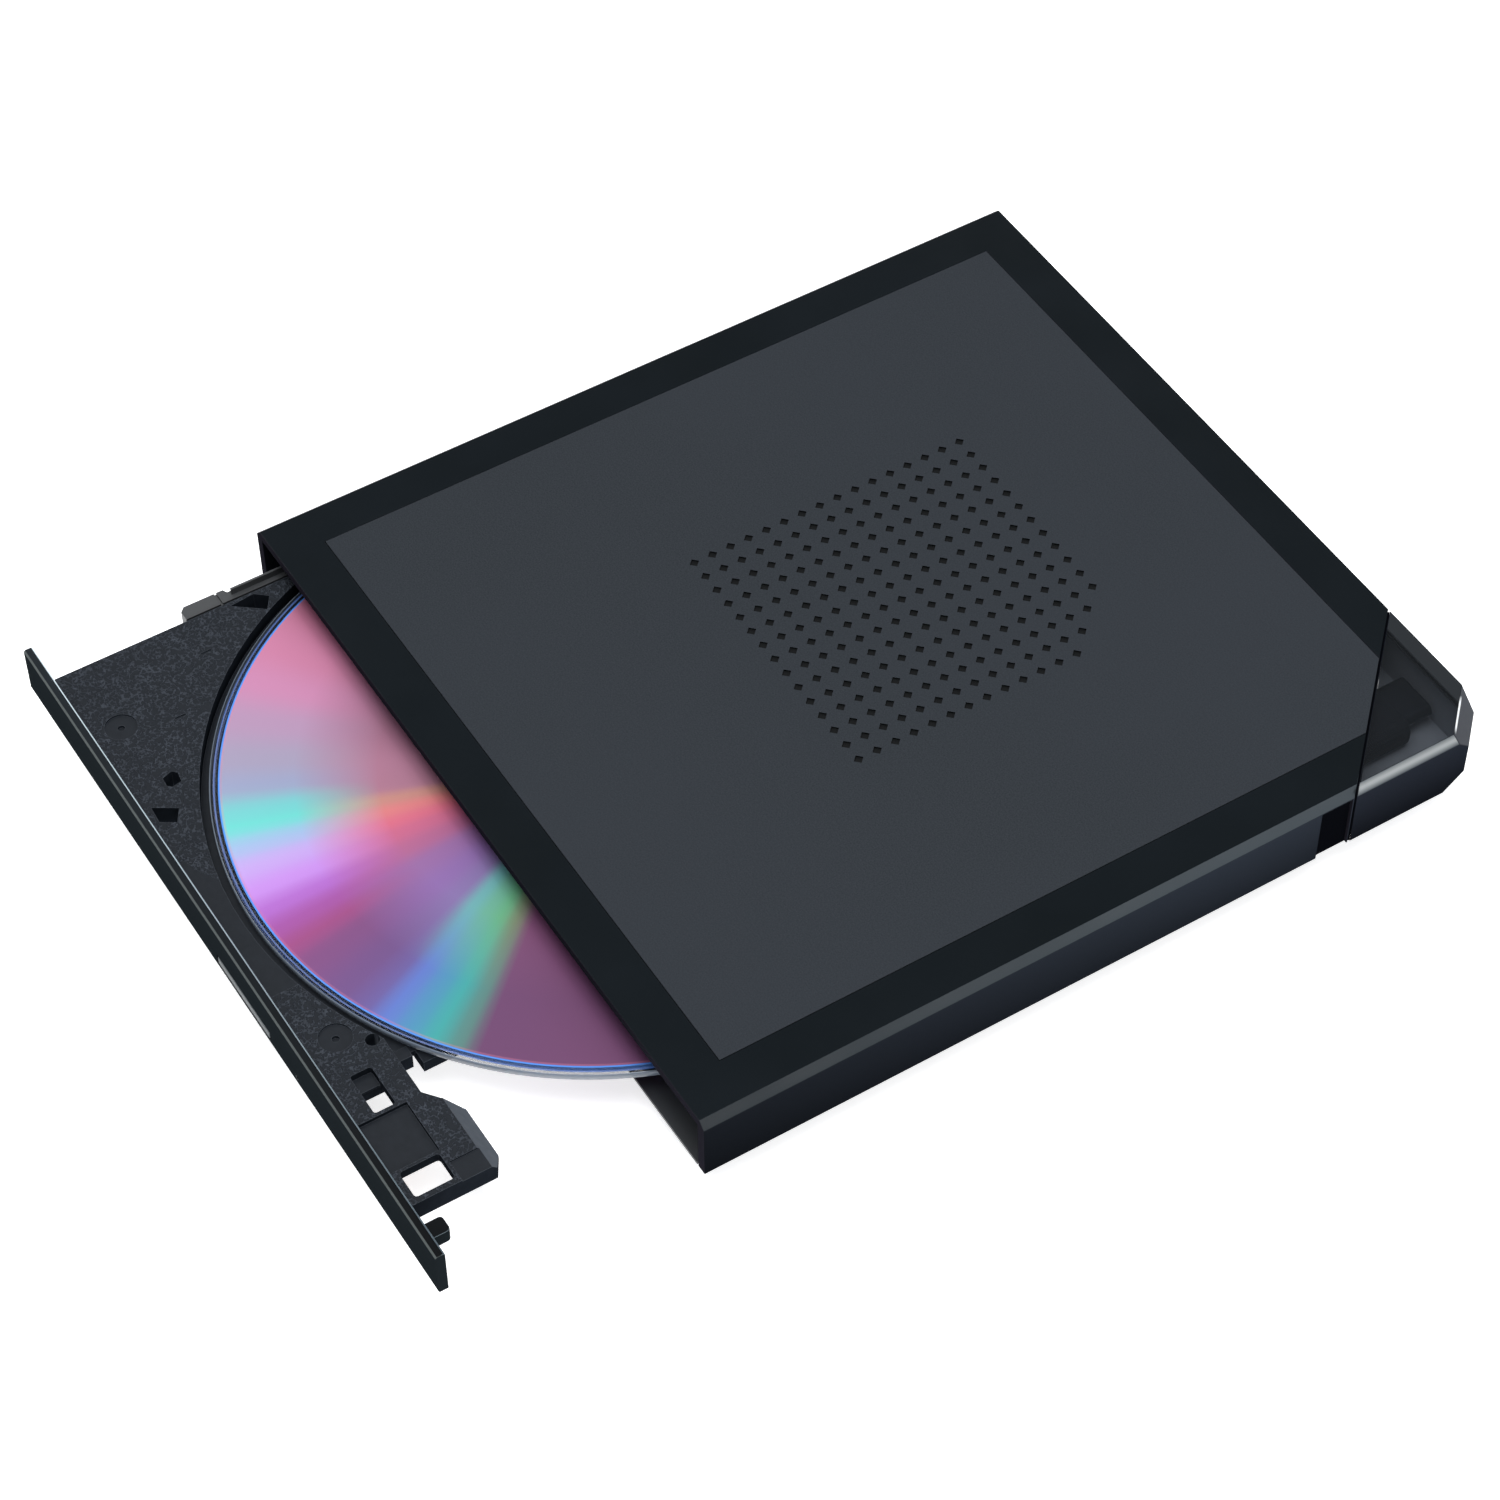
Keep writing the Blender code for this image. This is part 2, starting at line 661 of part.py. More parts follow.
def runners(fixed):
    share = -TRAY_OPEN * RUNNER_RATIO
    left_group = add_group("runner_left_axis", fixed, (-63.6, 40, 9), (0, share, 0))
    outline = [(-62.6, RUNNER_FRONT), (-62.6, 112), (-65.2, 112), (-65.2, 35.0), (-64.4, 32.4), (-64.4, 23.6),
               (-65.2, 23.2), (-65.2, RUNNER_FRONT + 0.8), (-64.4, RUNNER_FRONT)]
    left = add_part("runner_left", prism(outline, 7.3, GUIDE_LOW - GAP), tray_plastic(), left_group)
    cut(left, box((-63.4, 0, 8.5), (-60.0, 130, 9.7)), label="groove")
    cut(left, box((-66.0, 21.6, 10.4), (-62.0, 22.0, 12.0)), label="seam")
    fuse(left, box((-63.9, 24.0, GUIDE_LOW - 0.6), (-63.5, 112.0, GUIDE_LOW + 0.9)), label="key")
    right_group = add_group("runner_right_axis", fixed, (34.4, 40, 9), (0, share, 0))
    right = add_part("runner_right", box((33.2, 22.0, 7.3), (36.0, 118.0, 9.7)), grey_plastic(), right_group)
    cut(right, box((30, 10, 8.0), (34.5, 130, 9.0)), label="groove")
    fuse(right, box((35.6, 22.0, 8.3), (37.1, 118.0, 8.7)), label="key")


# ---------------------------------------------------------------- tray

BLOCK_RIGHT = 55.3
BLOCK_REAR = 17.8
BLOCK_SLOPE_FRONT = 15.0
STRIP_REAR = 12.9
STRIP_CEILING = 10.3
STRIP_WALL = 0.9
SMOOTH_RIGHT = 12.1
LATCH_PIVOT = (42.0, 10.0)
FRAME_LEFT = DISC_X - 24.5
FRAME_RIGHT = DISC_X + 28.5
FRAME_REAR = 129.8
FRAME_LINE = 152.5
ROD_Z = 8.6
ROD_RADIUS = 0.75
ROD_FRONT = 79.3
ROD_REAR = 127.0
MAIN_ROD_X = DISC_X + 18.2
SUB_ROD_X = DISC_X - 18.2
SCREW_X = DISC_X + 22.3
LENS_Y = DISC_Y + 24.0


def tray_outline():
    meet = math.degrees(math.acos((TRAY_RIGHT - DISC_X) / RECESS_RADIUS))
    rear = DISC_Y + RECESS_RADIUS * math.sin(math.radians(meet))
    return [
        (TRAY_LEFT, TRAY_FRONT), (BLOCK_RIGHT, TRAY_FRONT), (BLOCK_RIGHT, 16.1), (52.5, BLOCK_REAR),
        (43.0, BLOCK_REAR), (41.1, 14.8), (38.7, STRIP_REAR), (TRAY_RIGHT, STRIP_REAR), (TRAY_RIGHT, rear),
        (TRAY_RIGHT, TRAY_LINE - TRAY_RIGHT), (TRAY_LINE - TRAY_REAR, TRAY_REAR), (TRAY_LEFT + 4, TRAY_REAR),
        (TRAY_LEFT, TRAY_REAR - 4),
    ]


def tray(carriage):
    part = add_part("tray", prism(tray_outline(), TRAY_LOW, TRAY_TOP), tray_plastic(), carriage)
    recess = circle((DISC_X, DISC_Y), RECESS_RADIUS, 96)
    cut(part, prism(recess, RECESS_FLOOR, TRAY_TOP + 1), label="recess")
    opening = cut_corner(FRAME_LEFT - 1.2, 48.6, FRAME_RIGHT + 1.2, FRAME_REAR + 0.6, FRAME_LINE + 1.2)
    cut(part, prism(opening, TRAY_LOW - 1, TRAY_TOP + 1), label="opening")
    strip_end = box((25.8, STRIP_REAR, RECESS_FLOOR + 0.5), (TRAY_RIGHT + 1, 20, TRAY_TOP + 1))
    cut(part, strip_end, label="strip_end")
    right_wall = TRAY_RIGHT + 2.6
    tongues = [
        box((TRAY_LEFT - 1.9, 26.0, 8.8), (TRAY_LEFT + 1, 126.0, 9.4)),
        box((TRAY_RIGHT - 1, STRIP_REAR + 0.1, 7.1), (TRAY_RIGHT + 1, 15.6, RECESS_FLOOR + 0.5)),
        box((TRAY_RIGHT - 1, 16.5, 7.1), (right_wall, 118.0, RECESS_FLOOR - 0.1)),
    ]
    fuse(part, *tongues, label="tongues")
    fuse(part, box((right_wall - 0.5, 24.0, 8.3), (right_wall + 1.6, 118.0, 8.7)), label="key")
    button_room = box((BUTTON_LEFT - 0.6, 1.0, TRAY_LOW - 1), (BUTTON_RIGHT + 0.6, 4.9, BUTTON_HIGH + 0.4))
    block_room = box((33.5, TRAY_FRONT + STRIP_WALL, TRAY_LOW - 1),
                     (BLOCK_RIGHT - STRIP_WALL, STRIP_REAR - STRIP_WALL, STRIP_CEILING))
    cut(part, block_room, button_room, label="rooms")
    fuse(part, cylinder(LATCH_PIVOT, 0.7, 7.1, STRIP_CEILING + 0.3, 12), label="peg")
    cut(part, *tray_windows(), label="windows")
    cut(part, *tray_shallows(), label="shallows")
    cut(part, *[cylinder(place, 0.6, 11.1, 11.8, 16) for place in boss_places()], label="dimples")
    cut(part, block_slope(), label="slope")
    return part


def tray_windows():
    """Holes right through the front strip."""
    low, high = TRAY_LOW - 1, TRAY_TOP + 1
    pentagon = [(-34.6, 9.5), (-34.0, 7.7), (-32.4, 7.6), (-31.7, 8.2), (-32.0, 9.9), (-33.8, 10.2)]
    trapezoid = [(-29.7, 3.6), (-26.5, 3.4), (-25.0, 5.7), (-27.4, 7.2)]
    left_window = [(-60.4, 32.9), (-60.8, 37.2), (-59.1, 39.2), (-56.7, 37.6)]
    return [
        prism(pentagon, low, high), prism(trapezoid, low, high), prism(left_window, low, high),
        prism(rounded((33.6, 5.4), (38.5, 8.9), 0.4, 2), low, high),
        prism(rounded((49.4, TRAY_FRONT + STRIP_WALL + 0.1), (54.3, 9.9), 0.5, 2), low, high),
        cylinder((26.8, 11.4), 1.1, low, high, 20),
    ]


def boss_places():
    return [(-46.8, 6.9), (23.6, 7.0)]


def tray_shallows():
    """Recesses that don't go through: bosses, ticks, the smooth strip, the plate and its step."""
    high = TRAY_TOP + 1
    shapes = [cylinder(place, 2.6, 11.65, high, 32) for place in boss_places()]
    for x, y in ((-53.7, 25.2), (-43.8, 15.7)):
        shapes.append(box((x - 0.2, y - 0.9, 11.7), (x + 0.2, y + 0.9, high)))
    smooth_strip = [(-17.9, TRAY_FRONT - 1), (SMOOTH_RIGHT, TRAY_FRONT - 1), (SMOOTH_RIGHT, 9.0),
                    (-11.8, 9.0), (-11.8, 6.0), (-15.2, 3.9), (-17.9, 3.2)]
    shapes.append(prism(smooth_strip, TRAY_TOP - 0.12, high))
    shapes.append(prism(rounded((30.9, 5.4), (33.9, 8.9), 0.4, 2), STRIP_CEILING + 0.4, high))
    shapes.append(box((39.1, TRAY_FRONT - 1, 11.3), (48.9, STRIP_CEILING, high)))
    shapes.append(box((51.5, 10.5, 11.7), (BLOCK_RIGHT + 1, BLOCK_REAR, high)))
    return shapes


def block_slope():
    """The sloping facet along the rear edge of the tray's right-hand block."""
    front, rear = BLOCK_SLOPE_FRONT, BLOCK_REAR + 0.4
    low = 8.7
    above = TRAY_TOP + 1
    profile = [(front, TRAY_TOP), (rear, low), (rear + 3, low), (rear + 3, above), (front, above)]
    return prism(profile, 38.6, 60, "x")


BUTTON_LEFT = -1.2
BUTTON_RIGHT = 15.4
BUTTON_LOW = 7.2
BUTTON_HIGH = 8.8


def bezel(carriage):
    edge = 0.3
    outline = [(0, BEZEL_LOW + 0.2), (0.2, BEZEL_LOW), (BEZEL_THICK, BEZEL_LOW),
               (BEZEL_THICK, BEZEL_TOP - edge),
               (BEZEL_THICK - edge, BEZEL_TOP), (edge, BEZEL_TOP), (0, BEZEL_TOP - edge)]
    part = add_part("bezel", prism(outline, -BEZEL_HALF, BEZEL_HALF, "x"), bezel_plastic(), carriage)
    slot = box((BUTTON_LEFT - 0.3, -1, BUTTON_LOW - 0.3), (BUTTON_RIGHT + 0.3, 4, BUTTON_HIGH + 0.3))
    pinhole = cylinder((24.0, 7.9), 0.5, -1, 4, 12, "y")
    cut(part, slot, pinhole, label="slot")
    tab = prism(rounded((58.6, BEZEL_THICK - 1), (61.4, 5.2), 0.6, 3), 9.0, 11.6)
    fuse(part, tab, label="tab")
    return part


def eject_button(carriage):
    axis = ((BUTTON_LEFT + BUTTON_RIGHT) / 2, 0, (BUTTON_LOW + BUTTON_HIGH) / 2)
    group = add_group("eject_button_axis", carriage, axis)
    part = add_part("eject_button", box((BUTTON_LEFT, 0.0, BUTTON_LOW), (BUTTON_RIGHT, 3.4, BUTTON_HIGH)),
                    grey_plastic(), group)
    bevel(part, 0.2, 2)
    return part


# ---------------------------------------------------------------- parts under the tray

def underplate(carriage):
    outline = cut_corner(-60.0, 20.0, 28.6, 132.4, TRAY_LINE - 0.3)
    part = add_part("tray_underplate", prism(outline, 7.6, 8.0), sheet_steel(), carriage)
    opening = box((FRAME_LEFT - 1.5, 46.0, 7), (FRAME_RIGHT + 0.9, 134.0, 9))
    holes = [cylinder((x, y), 2.0, 7, 9, 16) for x, y in ((-50, 30), (-50, 120), (20, 30))]
    cut(part, opening, *holes, label="opening")


def button_board(carriage):
    board = add_part("button_board", box((-14.0, 8.2, 7.5), (12.0, 16.0, 8.0)), board_green(), carriage)
    cut(board, cylinder((-11, 13), 1.2, 7, 9, 12), label="hole")
    switch = add_part("tact_switch", box((4.0, 4.8, 7.1), (10.0, 7.9, 8.0)), bright_steel(), carriage)
    fuse(switch, box((6.0, 4.3, 7.3), (8.0, 5.0, 7.8)), label="plunger")


def latch(carriage):
    """The hook lies beside its post at rest and swings behind it when the tray is held shut."""
    x, y = LATCH_PIVOT
    low, high = 7.4, 7.9
    group = add_group("latch_axis", carriage, (x, y, 0))
    arm = [(x - 0.8, y), (x + 1, y), (x + 1, 15.8), (x + 2.9, 15.8), (x + 2.9, 17.1), (x - 0.8, 17.1)]
    lever = add_part("latch_lever", prism(arm, low, high), tray_plastic(), group)
    fuse(lever, cylinder((x, y), 1.6, low, high, 20), label="boss")
    fuse(lever, box((x - 3.2, y - 0.7, low), (x - 0.5, y + 0.7, high)), label="tail")
    cut(lever, cylinder((x, y), 1.0, low - 1, high + 1, 16), label="bore")
    solenoid = add_part("solenoid", box((38.8, 3.8, 7.4), (44.8, 7.9, 9.9)), copper(), carriage)
    fuse(solenoid, box((38.9, 7.7, 7.5), (40.1, y - 1.0, 8.8)), label="plunger")
    coil = turned([(1.0, 8.2), (1.5, 8.2), (1.5, 8.7), (1.0, 8.7)], LATCH_PIVOT, 16)
    add_part("latch_spring", coil, bright_steel(), carriage, smooth=True)


def traverse(carriage):
    outline = cut_corner(FRAME_LEFT, 50.0, FRAME_RIGHT, FRAME_REAR, FRAME_LINE)
    frame = add_part("traverse_frame", prism(outline, 7.2, 8.0), sheet_steel(), carriage)
    window = box((DISC_X - 20.5, 79.0, 6), (DISC_X + 24.7, FRAME_REAR - 2.4, 9))
    motor_room = box((SCREW_X - 2.0, 64.5, 6), (SCREW_X + 2.0, 80.0, 9))
    spindle_hole = cylinder((DISC_X, DISC_Y), 3.0, 6, 9, 24)
    damper_holes = [cylinder((x, y), 1.7, 6, 9, 16) for x, y in damper_places()]
    cut(frame, window, spindle_hole, *damper_holes, label="window")
    cut(frame, motor_room, label="motor_room")
    holders = [box((x - 1.3, y, 7.8), (x + 1.3, y + 2.3, 9.7))
               for x in (MAIN_ROD_X, SUB_ROD_X) for y in (ROD_FRONT - 2.6, ROD_REAR + GAP)]
    fuse(frame, *holders, label="holders")
    for number, place in enumerate(damper_places(), 1):
        profile = [(0.5, 7.2), (1.3, 7.2), (1.3, 8.3), (2.3, 8.3), (2.3, 9.0), (0.5, 9.0)]
        add_part(f"damper_{number}", turned(profile, place, 16), rubber(), carriage, (*place, 0), smooth=True)
    for name, x in (("guide_rod_main", MAIN_ROD_X), ("guide_rod_sub", SUB_ROD_X)):
        rod = cylinder((x, ROD_Z), ROD_RADIUS, ROD_FRONT, ROD_REAR, 16, "y")
        add_part(name, rod, bright_steel(), carriage, (x, 0, ROD_Z), smooth=True)
    motor = cylinder((SCREW_X, ROD_Z), 1.5, 65.5, 77.2, 24, "y")
    add_part("sled_motor", motor, bright_steel(), carriage, (SCREW_X, 0, ROD_Z), smooth=True)


def damper_places():
    return [(DISC_X - 21.5, 53.0), (DISC_X + 25.4, 53.0), (DISC_X - 22.4, 126.4)]


def lead_screw(carriage):
    group = add_group("lead_screw_axis", carriage, (SCREW_X, 0, ROD_Z))
    shape = cylinder((SCREW_X, ROD_Z), 0.95, 77.6, ROD_REAR, 12, "y")
    add_part("lead_screw", shape, bright_steel(), group, smooth=True)


def sled(carriage):
    group = add_group("sled_axis", carriage, (DISC_X, LENS_Y, ROD_Z))
    front, rear = 79.8, 94.4
    low, high = 7.5, 9.7
    block = box((DISC_X - 16.4, front, low), (DISC_X + 16.4, rear, high))
    body = add_part("pickup_sled", block, sheet_steel(), group)
    bush = cylinder((MAIN_ROD_X, ROD_Z), 1.4, front, rear, 20, "y")
    fork = box((SUB_ROD_X - 1.6, 84.0, 7.4), (DISC_X - 16.0, 89.0, 9.8))
    fuse(body, bush, fork, label="bearings")
    fuse(body, box((DISC_X + 16.0, front + 1, 8.0), (MAIN_ROD_X, rear - 1, 9.2)), label="link")
    fuse(body, box((MAIN_ROD_X + 0.5, 84.0, 8.0), (SCREW_X - 1.15, 90.0, 9.2)), label="follower")
    rod_hole = cylinder((MAIN_ROD_X, ROD_Z), ROD_RADIUS + 0.1, front - 1, rear + 1, 20, "y")
    rod_slot = box((SUB_ROD_X - 3.0, 83.0, ROD_Z - 0.9), (SUB_ROD_X + 0.95, 90.0, ROD_Z + 0.9))
    well = cylinder((DISC_X, LENS_Y), 3.1, 8.1, 11, 28)
    cut(body, rod_hole, rod_slot, well, label="holes")
    lens_group = add_group("lens_axis", group, (DISC_X, LENS_Y, 9.0))
    profile = [(0.2, 8.7), (2.7, 8.7), (2.7, 9.3), (1.9, 9.6), (1.0, 9.75), (0.2, 9.78)]
    add_part("objective_lens", turned(profile, (DISC_X, LENS_Y), 24), lens_glass(), lens_group, smooth=True)


def spindle(carriage):
    centre = (DISC_X, DISC_Y)
    stator = turned([(3.0, 8.3), (12.5, 8.3), (12.5, 8.9), (11.6, 9.2), (3.0, 9.2)], centre, 36)
    add_part("spindle_stator", stator, copper(), carriage, (*centre, 0), smooth=True)
    group = add_group("spindle_axis", carriage, (*centre, 0))
    profile = [(0.5, 8.0), (1.4, 8.0), (1.4, 9.5), (11.5, 9.5), (11.5, 10.05), (7.2, 10.05), (7.2, 12.1),
               (6.4, 12.9), (0.5, 12.9)]
    hub = add_part("turntable_hub", turned(profile, centre, 36), bright_steel(), group, smooth=True)
    slots = []
    for number in range(3):
        turn = Matrix.Translation((*centre, 0)) @ Matrix.Rotation(math.radians(90 + 120 * number), 4, "Z")
        slot = box((4.2, -1.5, 11.5), (9.0, 1.5, 14.0))
        bmesh.ops.transform(slot, matrix=turn, verts=slot.verts)
        slots.append(slot)
        pawl_group = add_group(f"hub_pawl_{number + 1}_axis", group, (*centre, 0))
        pawl = prism([(5.2, 11.85), (7.9, 11.85), (7.9, 12.05), (7.2, 12.5), (5.2, 12.6)], -1.2, 1.2, "y")
        bmesh.ops.transform(pawl, matrix=turn, verts=pawl.verts)
        add_part(f"hub_pawl_{number + 1}", pawl, white_plastic(), pawl_group)
    cut(hub, *slots, label="slots")
    ring = [(DISC_HOLE, DISC_LOW), (DISC_RADIUS - 0.1, DISC_LOW), (DISC_RADIUS, DISC_LOW + 0.1),
            (DISC_RADIUS, DISC_TOP - 0.1), (DISC_RADIUS - 0.1, DISC_TOP), (DISC_HOLE, DISC_TOP)]
    add_part("disc", turned(ring, centre, 96), disc_surface(), group, smooth=True)


# ---------------------------------------------------------------- ejector and ribbon

EJECTOR_X = -30.0
EJECTOR_Z = 10.2


def ejector(fixed):
    centre = (EJECTOR_X, EJECTOR_Z)
    housing = add_part("ejector_housing", box((EJECTOR_X - 3, 136.6, 7.4), (EJECTOR_X + 3, 138.8, 12.9)),
                       white_plastic(), fixed)
    cut(housing, cylinder(centre, 1.1, 136, 140, 16, "y"), label="bore")
    group = add_group("ejector_axis", fixed, (EJECTOR_X, 135, EJECTOR_Z))
    head = cylinder(centre, 1.8, 133.8, 134.8, 20, "y")
    plunger = add_part("ejector_plunger", head, white_plastic(), group)
    fuse(plunger, cylinder(centre, 0.8, 134.4, 137.4, 16, "y"), label="rod")
    turns = turned([(1.1, 135.1), (1.5, 135.1), (1.5, 136.3), (1.1, 136.3)], (0, 0), 16)
    lie_down = Matrix.Translation((EJECTOR_X, 0, EJECTOR_Z)) @ Matrix.Rotation(math.radians(-90), 4, "X")
    bmesh.ops.transform(turns, matrix=lie_down, verts=turns.verts)
    add_part("ejector_spring", turns, bright_steel(), fixed, smooth=True)


def flex_cable(fixed):
    """A ribbon folded under the tray: floor run, bend, and the run that the tray draws along."""
    floor_end, bend, tray_end = 116.0, 35.0, 78.6
    low, thick, rise = FLOOR + 0.15, 0.1, 0.3
    high = low + rise
    outline = [(floor_end, low), (floor_end, low + thick), (bend + 0.1, low + thick), (bend + 0.1, high),
               (tray_end, high), (tray_end, high + thick), (bend, high + thick), (bend, low)]
    add_part("flex_cable", prism(outline, -52.0, -40.0, "x"), amber_film(), fixed)


# ---------------------------------------------------------------- main

def build():
    clear_scene()
    front = -(CASE_DEPTH - TRAY_OPEN) / 2
    fixed = add_group("fixed_body", None, shift=(0, front, 0))
    upper_case(fixed)
    top_panel(fixed)
    lower_case(fixed)
    corner_cap(fixed)
    rubber_feet(fixed)
    case_screws(fixed)
    chassis(fixed)
    drive_cover(fixed)
    guide_rails(fixed)
    latch_post(fixed)
    main_board(fixed)
    bridge_board(fixed)
    usb_cable(fixed)
    usb_plug(fixed)
    runners(fixed)
    carriage = add_group("tray_axis", fixed, (0, 0, 10), (0, -TRAY_OPEN, 0))
    tray(carriage)
    bezel(carriage)
    eject_button(carriage)
    underplate(carriage)
    button_board(carriage)
    latch(carriage)
    traverse(carriage)
    lead_screw(carriage)
    sled(carriage)
    spindle(carriage)
    ejector(fixed)
    flex_cable(fixed)


build()
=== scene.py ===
"""The looks of a slim external optical drive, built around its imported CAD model."""
import json
import math

import bmesh
import bpy
from mathutils import Matrix, Vector


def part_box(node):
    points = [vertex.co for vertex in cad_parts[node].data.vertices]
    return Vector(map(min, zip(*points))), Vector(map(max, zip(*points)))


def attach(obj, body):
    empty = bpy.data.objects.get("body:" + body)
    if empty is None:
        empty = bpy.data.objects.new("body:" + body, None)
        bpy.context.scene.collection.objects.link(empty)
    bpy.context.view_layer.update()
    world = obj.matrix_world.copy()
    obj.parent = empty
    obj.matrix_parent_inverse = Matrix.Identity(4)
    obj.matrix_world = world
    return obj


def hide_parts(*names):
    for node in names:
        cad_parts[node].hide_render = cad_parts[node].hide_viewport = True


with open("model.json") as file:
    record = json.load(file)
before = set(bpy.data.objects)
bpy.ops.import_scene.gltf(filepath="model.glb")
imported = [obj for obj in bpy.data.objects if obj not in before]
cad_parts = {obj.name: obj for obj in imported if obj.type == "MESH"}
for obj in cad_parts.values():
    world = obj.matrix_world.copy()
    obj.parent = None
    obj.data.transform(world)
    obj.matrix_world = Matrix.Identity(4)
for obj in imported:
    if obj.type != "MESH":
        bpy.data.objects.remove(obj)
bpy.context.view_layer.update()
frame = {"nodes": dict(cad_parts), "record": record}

MM = 0.001
BODY_OF = {
    node: body
    for body, nodes in frame["record"]["behaviour"]["bodies"].items()
    for node in nodes
}


def box_mm(node):
    low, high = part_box(node)
    return low / MM, high / MM


# ---------------------------------------------------------------- sizes, in millimetres

CASE_LOW, CASE_HIGH = box_mm("upper_case")
PANEL_HIGH = box_mm("top_panel")[1]
TRAY_HIGH = box_mm("tray")[1]
BEZEL_LOW, BEZEL_HIGH = box_mm("bezel")
DISC_LOW, DISC_HIGH = box_mm("disc")
DISC_CENTRE = (DISC_LOW + DISC_HIGH) / 2
DISC_RADIUS = (DISC_HIGH.x - DISC_LOW.x) / 2

# Corners closer than WELD are one, and faces within FLAT_ANGLE degrees of each other are one
WELD = 0.002
FLAT_ANGLE = 0.5

# Widths of the rounded-over edges, and the angle in degrees from which an edge is rounded
EDGE_ANGLE = 30
CASE_EDGE = 0.22
CAP_EDGE = 0.2
BEZEL_EDGE = 0.18
TRAY_EDGE = 0.1
BASE_EDGE = 0.3

# The field of dimples in the inlay; its rear right corner is stepped
DOT_COLUMNS = 15
DOT_ROWS = 16
DOT_PITCH_X = 3.436
DOT_PITCH_Y = 3.373
DOT_LEFT = -24.8
DOT_FRONT = 55.5
DOT_STEPS = 3
DOT_REACH = 0.86
DOT_DEPTH = 0.25

# The seam lies where x and the distance behind the front face add up to SEAM_LINE
SEAM_LINE = 184.62
SEAM_STRIP = 0.31
SEAM_DEPTH = 0.15
SEAM_BAR = 1.4
CAP_CORNER = 206.6
CAP_WALL = 1.2
CAP_FACET = 2.0
BAY_FLOOR = 6.2
LIGHT_SHEET_GAP = 0.1
LIGHT_SHEET_THICKNESS = 0.25
NOTCH_FRONT = 109.6
NOTCH_REAR = 115.4
NOTCH_TOP = 15.9
NOTCH_OUT = 0.5
NOTCH_IN = 1.7
NOTCH_GAP = 0.1

# The data layer stops short of the rim by DATA_EDGE, and begins at DATA_START
DATA_EDGE = 1.4
DATA_START = 20.0
LAYER_GAP = 0.02
HUB_HOLE = 7.5
RIM_CHAMFER = 0.12
STACK_GROOVE = 17.0
GROOVE_TOP = 0.4
GROOVE_BOTTOM = 0.2
GROOVE_DEPTH = 0.15
RIM_STEPS = 180
MIDDLE_STEPS = 120

# Scale of the leather grain on the tray, in waves a metre
GRAIN_SCALE = 1300


# ---------------------------------------------------------------- camera and light

CAMERA_PLACE = (354.74, -217.58, 492.35)
CAMERA_AZIMUTH = 58.454
CAMERA_ELEVATION = 49.823
CAMERA_ROLL = -0.406
CAMERA_LENS = 97.67
SENSOR_WIDTH = 36.0
SKY_STRENGTH = 0.45
SKY_EDGE = 0.75
FLOOR_GLOW = 0.7
FLOOR_REACH = 6.0

# Name, azimuth and elevation in degrees, distance and size in metres, and power in watts
SOFTBOXES = [
    ("key", 40, 80, 1.6, (1.0, 1.0), 20),
    ("right_strip", 111, 31, 1.5, (0.9, 0.22), 5.0),
    ("left_fill", -75, 55, 1.6, (1.0, 1.0), 5),
    ("front_strip", -39, 15, 1.5, (0.5, 0.16), 1.4),
    ("rear_strip", -141, 30, 1.5, (0.9, 0.2), 1.5),
]


def back_direction(azimuth, elevation):
    a, e = math.radians(azimuth), math.radians(elevation)
    return Vector((math.sin(a) * math.cos(e), -math.cos(a) * math.cos(e), math.sin(e)))


def looking_from(back, roll=0.0):
    """The rotation that looks along -back with its top edge level."""
    right = Vector((0, 0, 1)).cross(back).normalized()
    up = back.cross(right)
    turned = Matrix((right, up, back)).transposed()
    return turned @ Matrix.Rotation(math.radians(roll), 3, "Z")


def add_camera():
    data = bpy.data.cameras.new("camera")
    data.lens = CAMERA_LENS
    data.sensor_width = SENSOR_WIDTH
    data.clip_start = 0.01
    camera = bpy.data.objects.new("camera", data)
    rotation = looking_from(back_direction(CAMERA_AZIMUTH, CAMERA_ELEVATION), CAMERA_ROLL)
    camera.matrix_world = Matrix.Translation(Vector(CAMERA_PLACE) * MM) @ rotation.to_4x4()
    bpy.context.scene.collection.objects.link(camera)
    bpy.context.scene.camera = camera


def add_softbox(name, azimuth, elevation, distance, size, power):
    data = bpy.data.lights.new(name, "AREA")
    data.shape = "RECTANGLE"
    data.size, data.size_y = size
    data.energy = power
    lamp = bpy.data.objects.new(name, data)
    back = back_direction(azimuth, elevation)
    lamp.matrix_world = Matrix.Translation(back * distance) @ looking_from(back).to_4x4()
    bpy.context.scene.collection.objects.link(lamp)


def add_floor():
    """A pale floor that glows a little, so the shadows on it stay faint."""
    mesh = bpy.data.meshes.new("floor")
    reach = FLOOR_REACH
    corners = [(-reach, -reach, 0), (reach, -reach, 0), (reach, reach, 0), (-reach, reach, 0)]
    mesh.from_pydata(corners, [], [(0, 1, 2, 3)])
    floor = bpy.data.objects.new("floor", mesh)
    bpy.context.scene.collection.objects.link(floor)
    look = Look("pale_floor", srgb(244, 244, 245), 0.9)
    look.vary_roughness(0.85, 0.95, 3.0)
    look.shader.inputs["Emission Color"].default_value = (1, 1, 1, 1)
    look.shader.inputs["Emission Strength"].default_value = FLOOR_GLOW
    floor.data.materials.append(look.material)


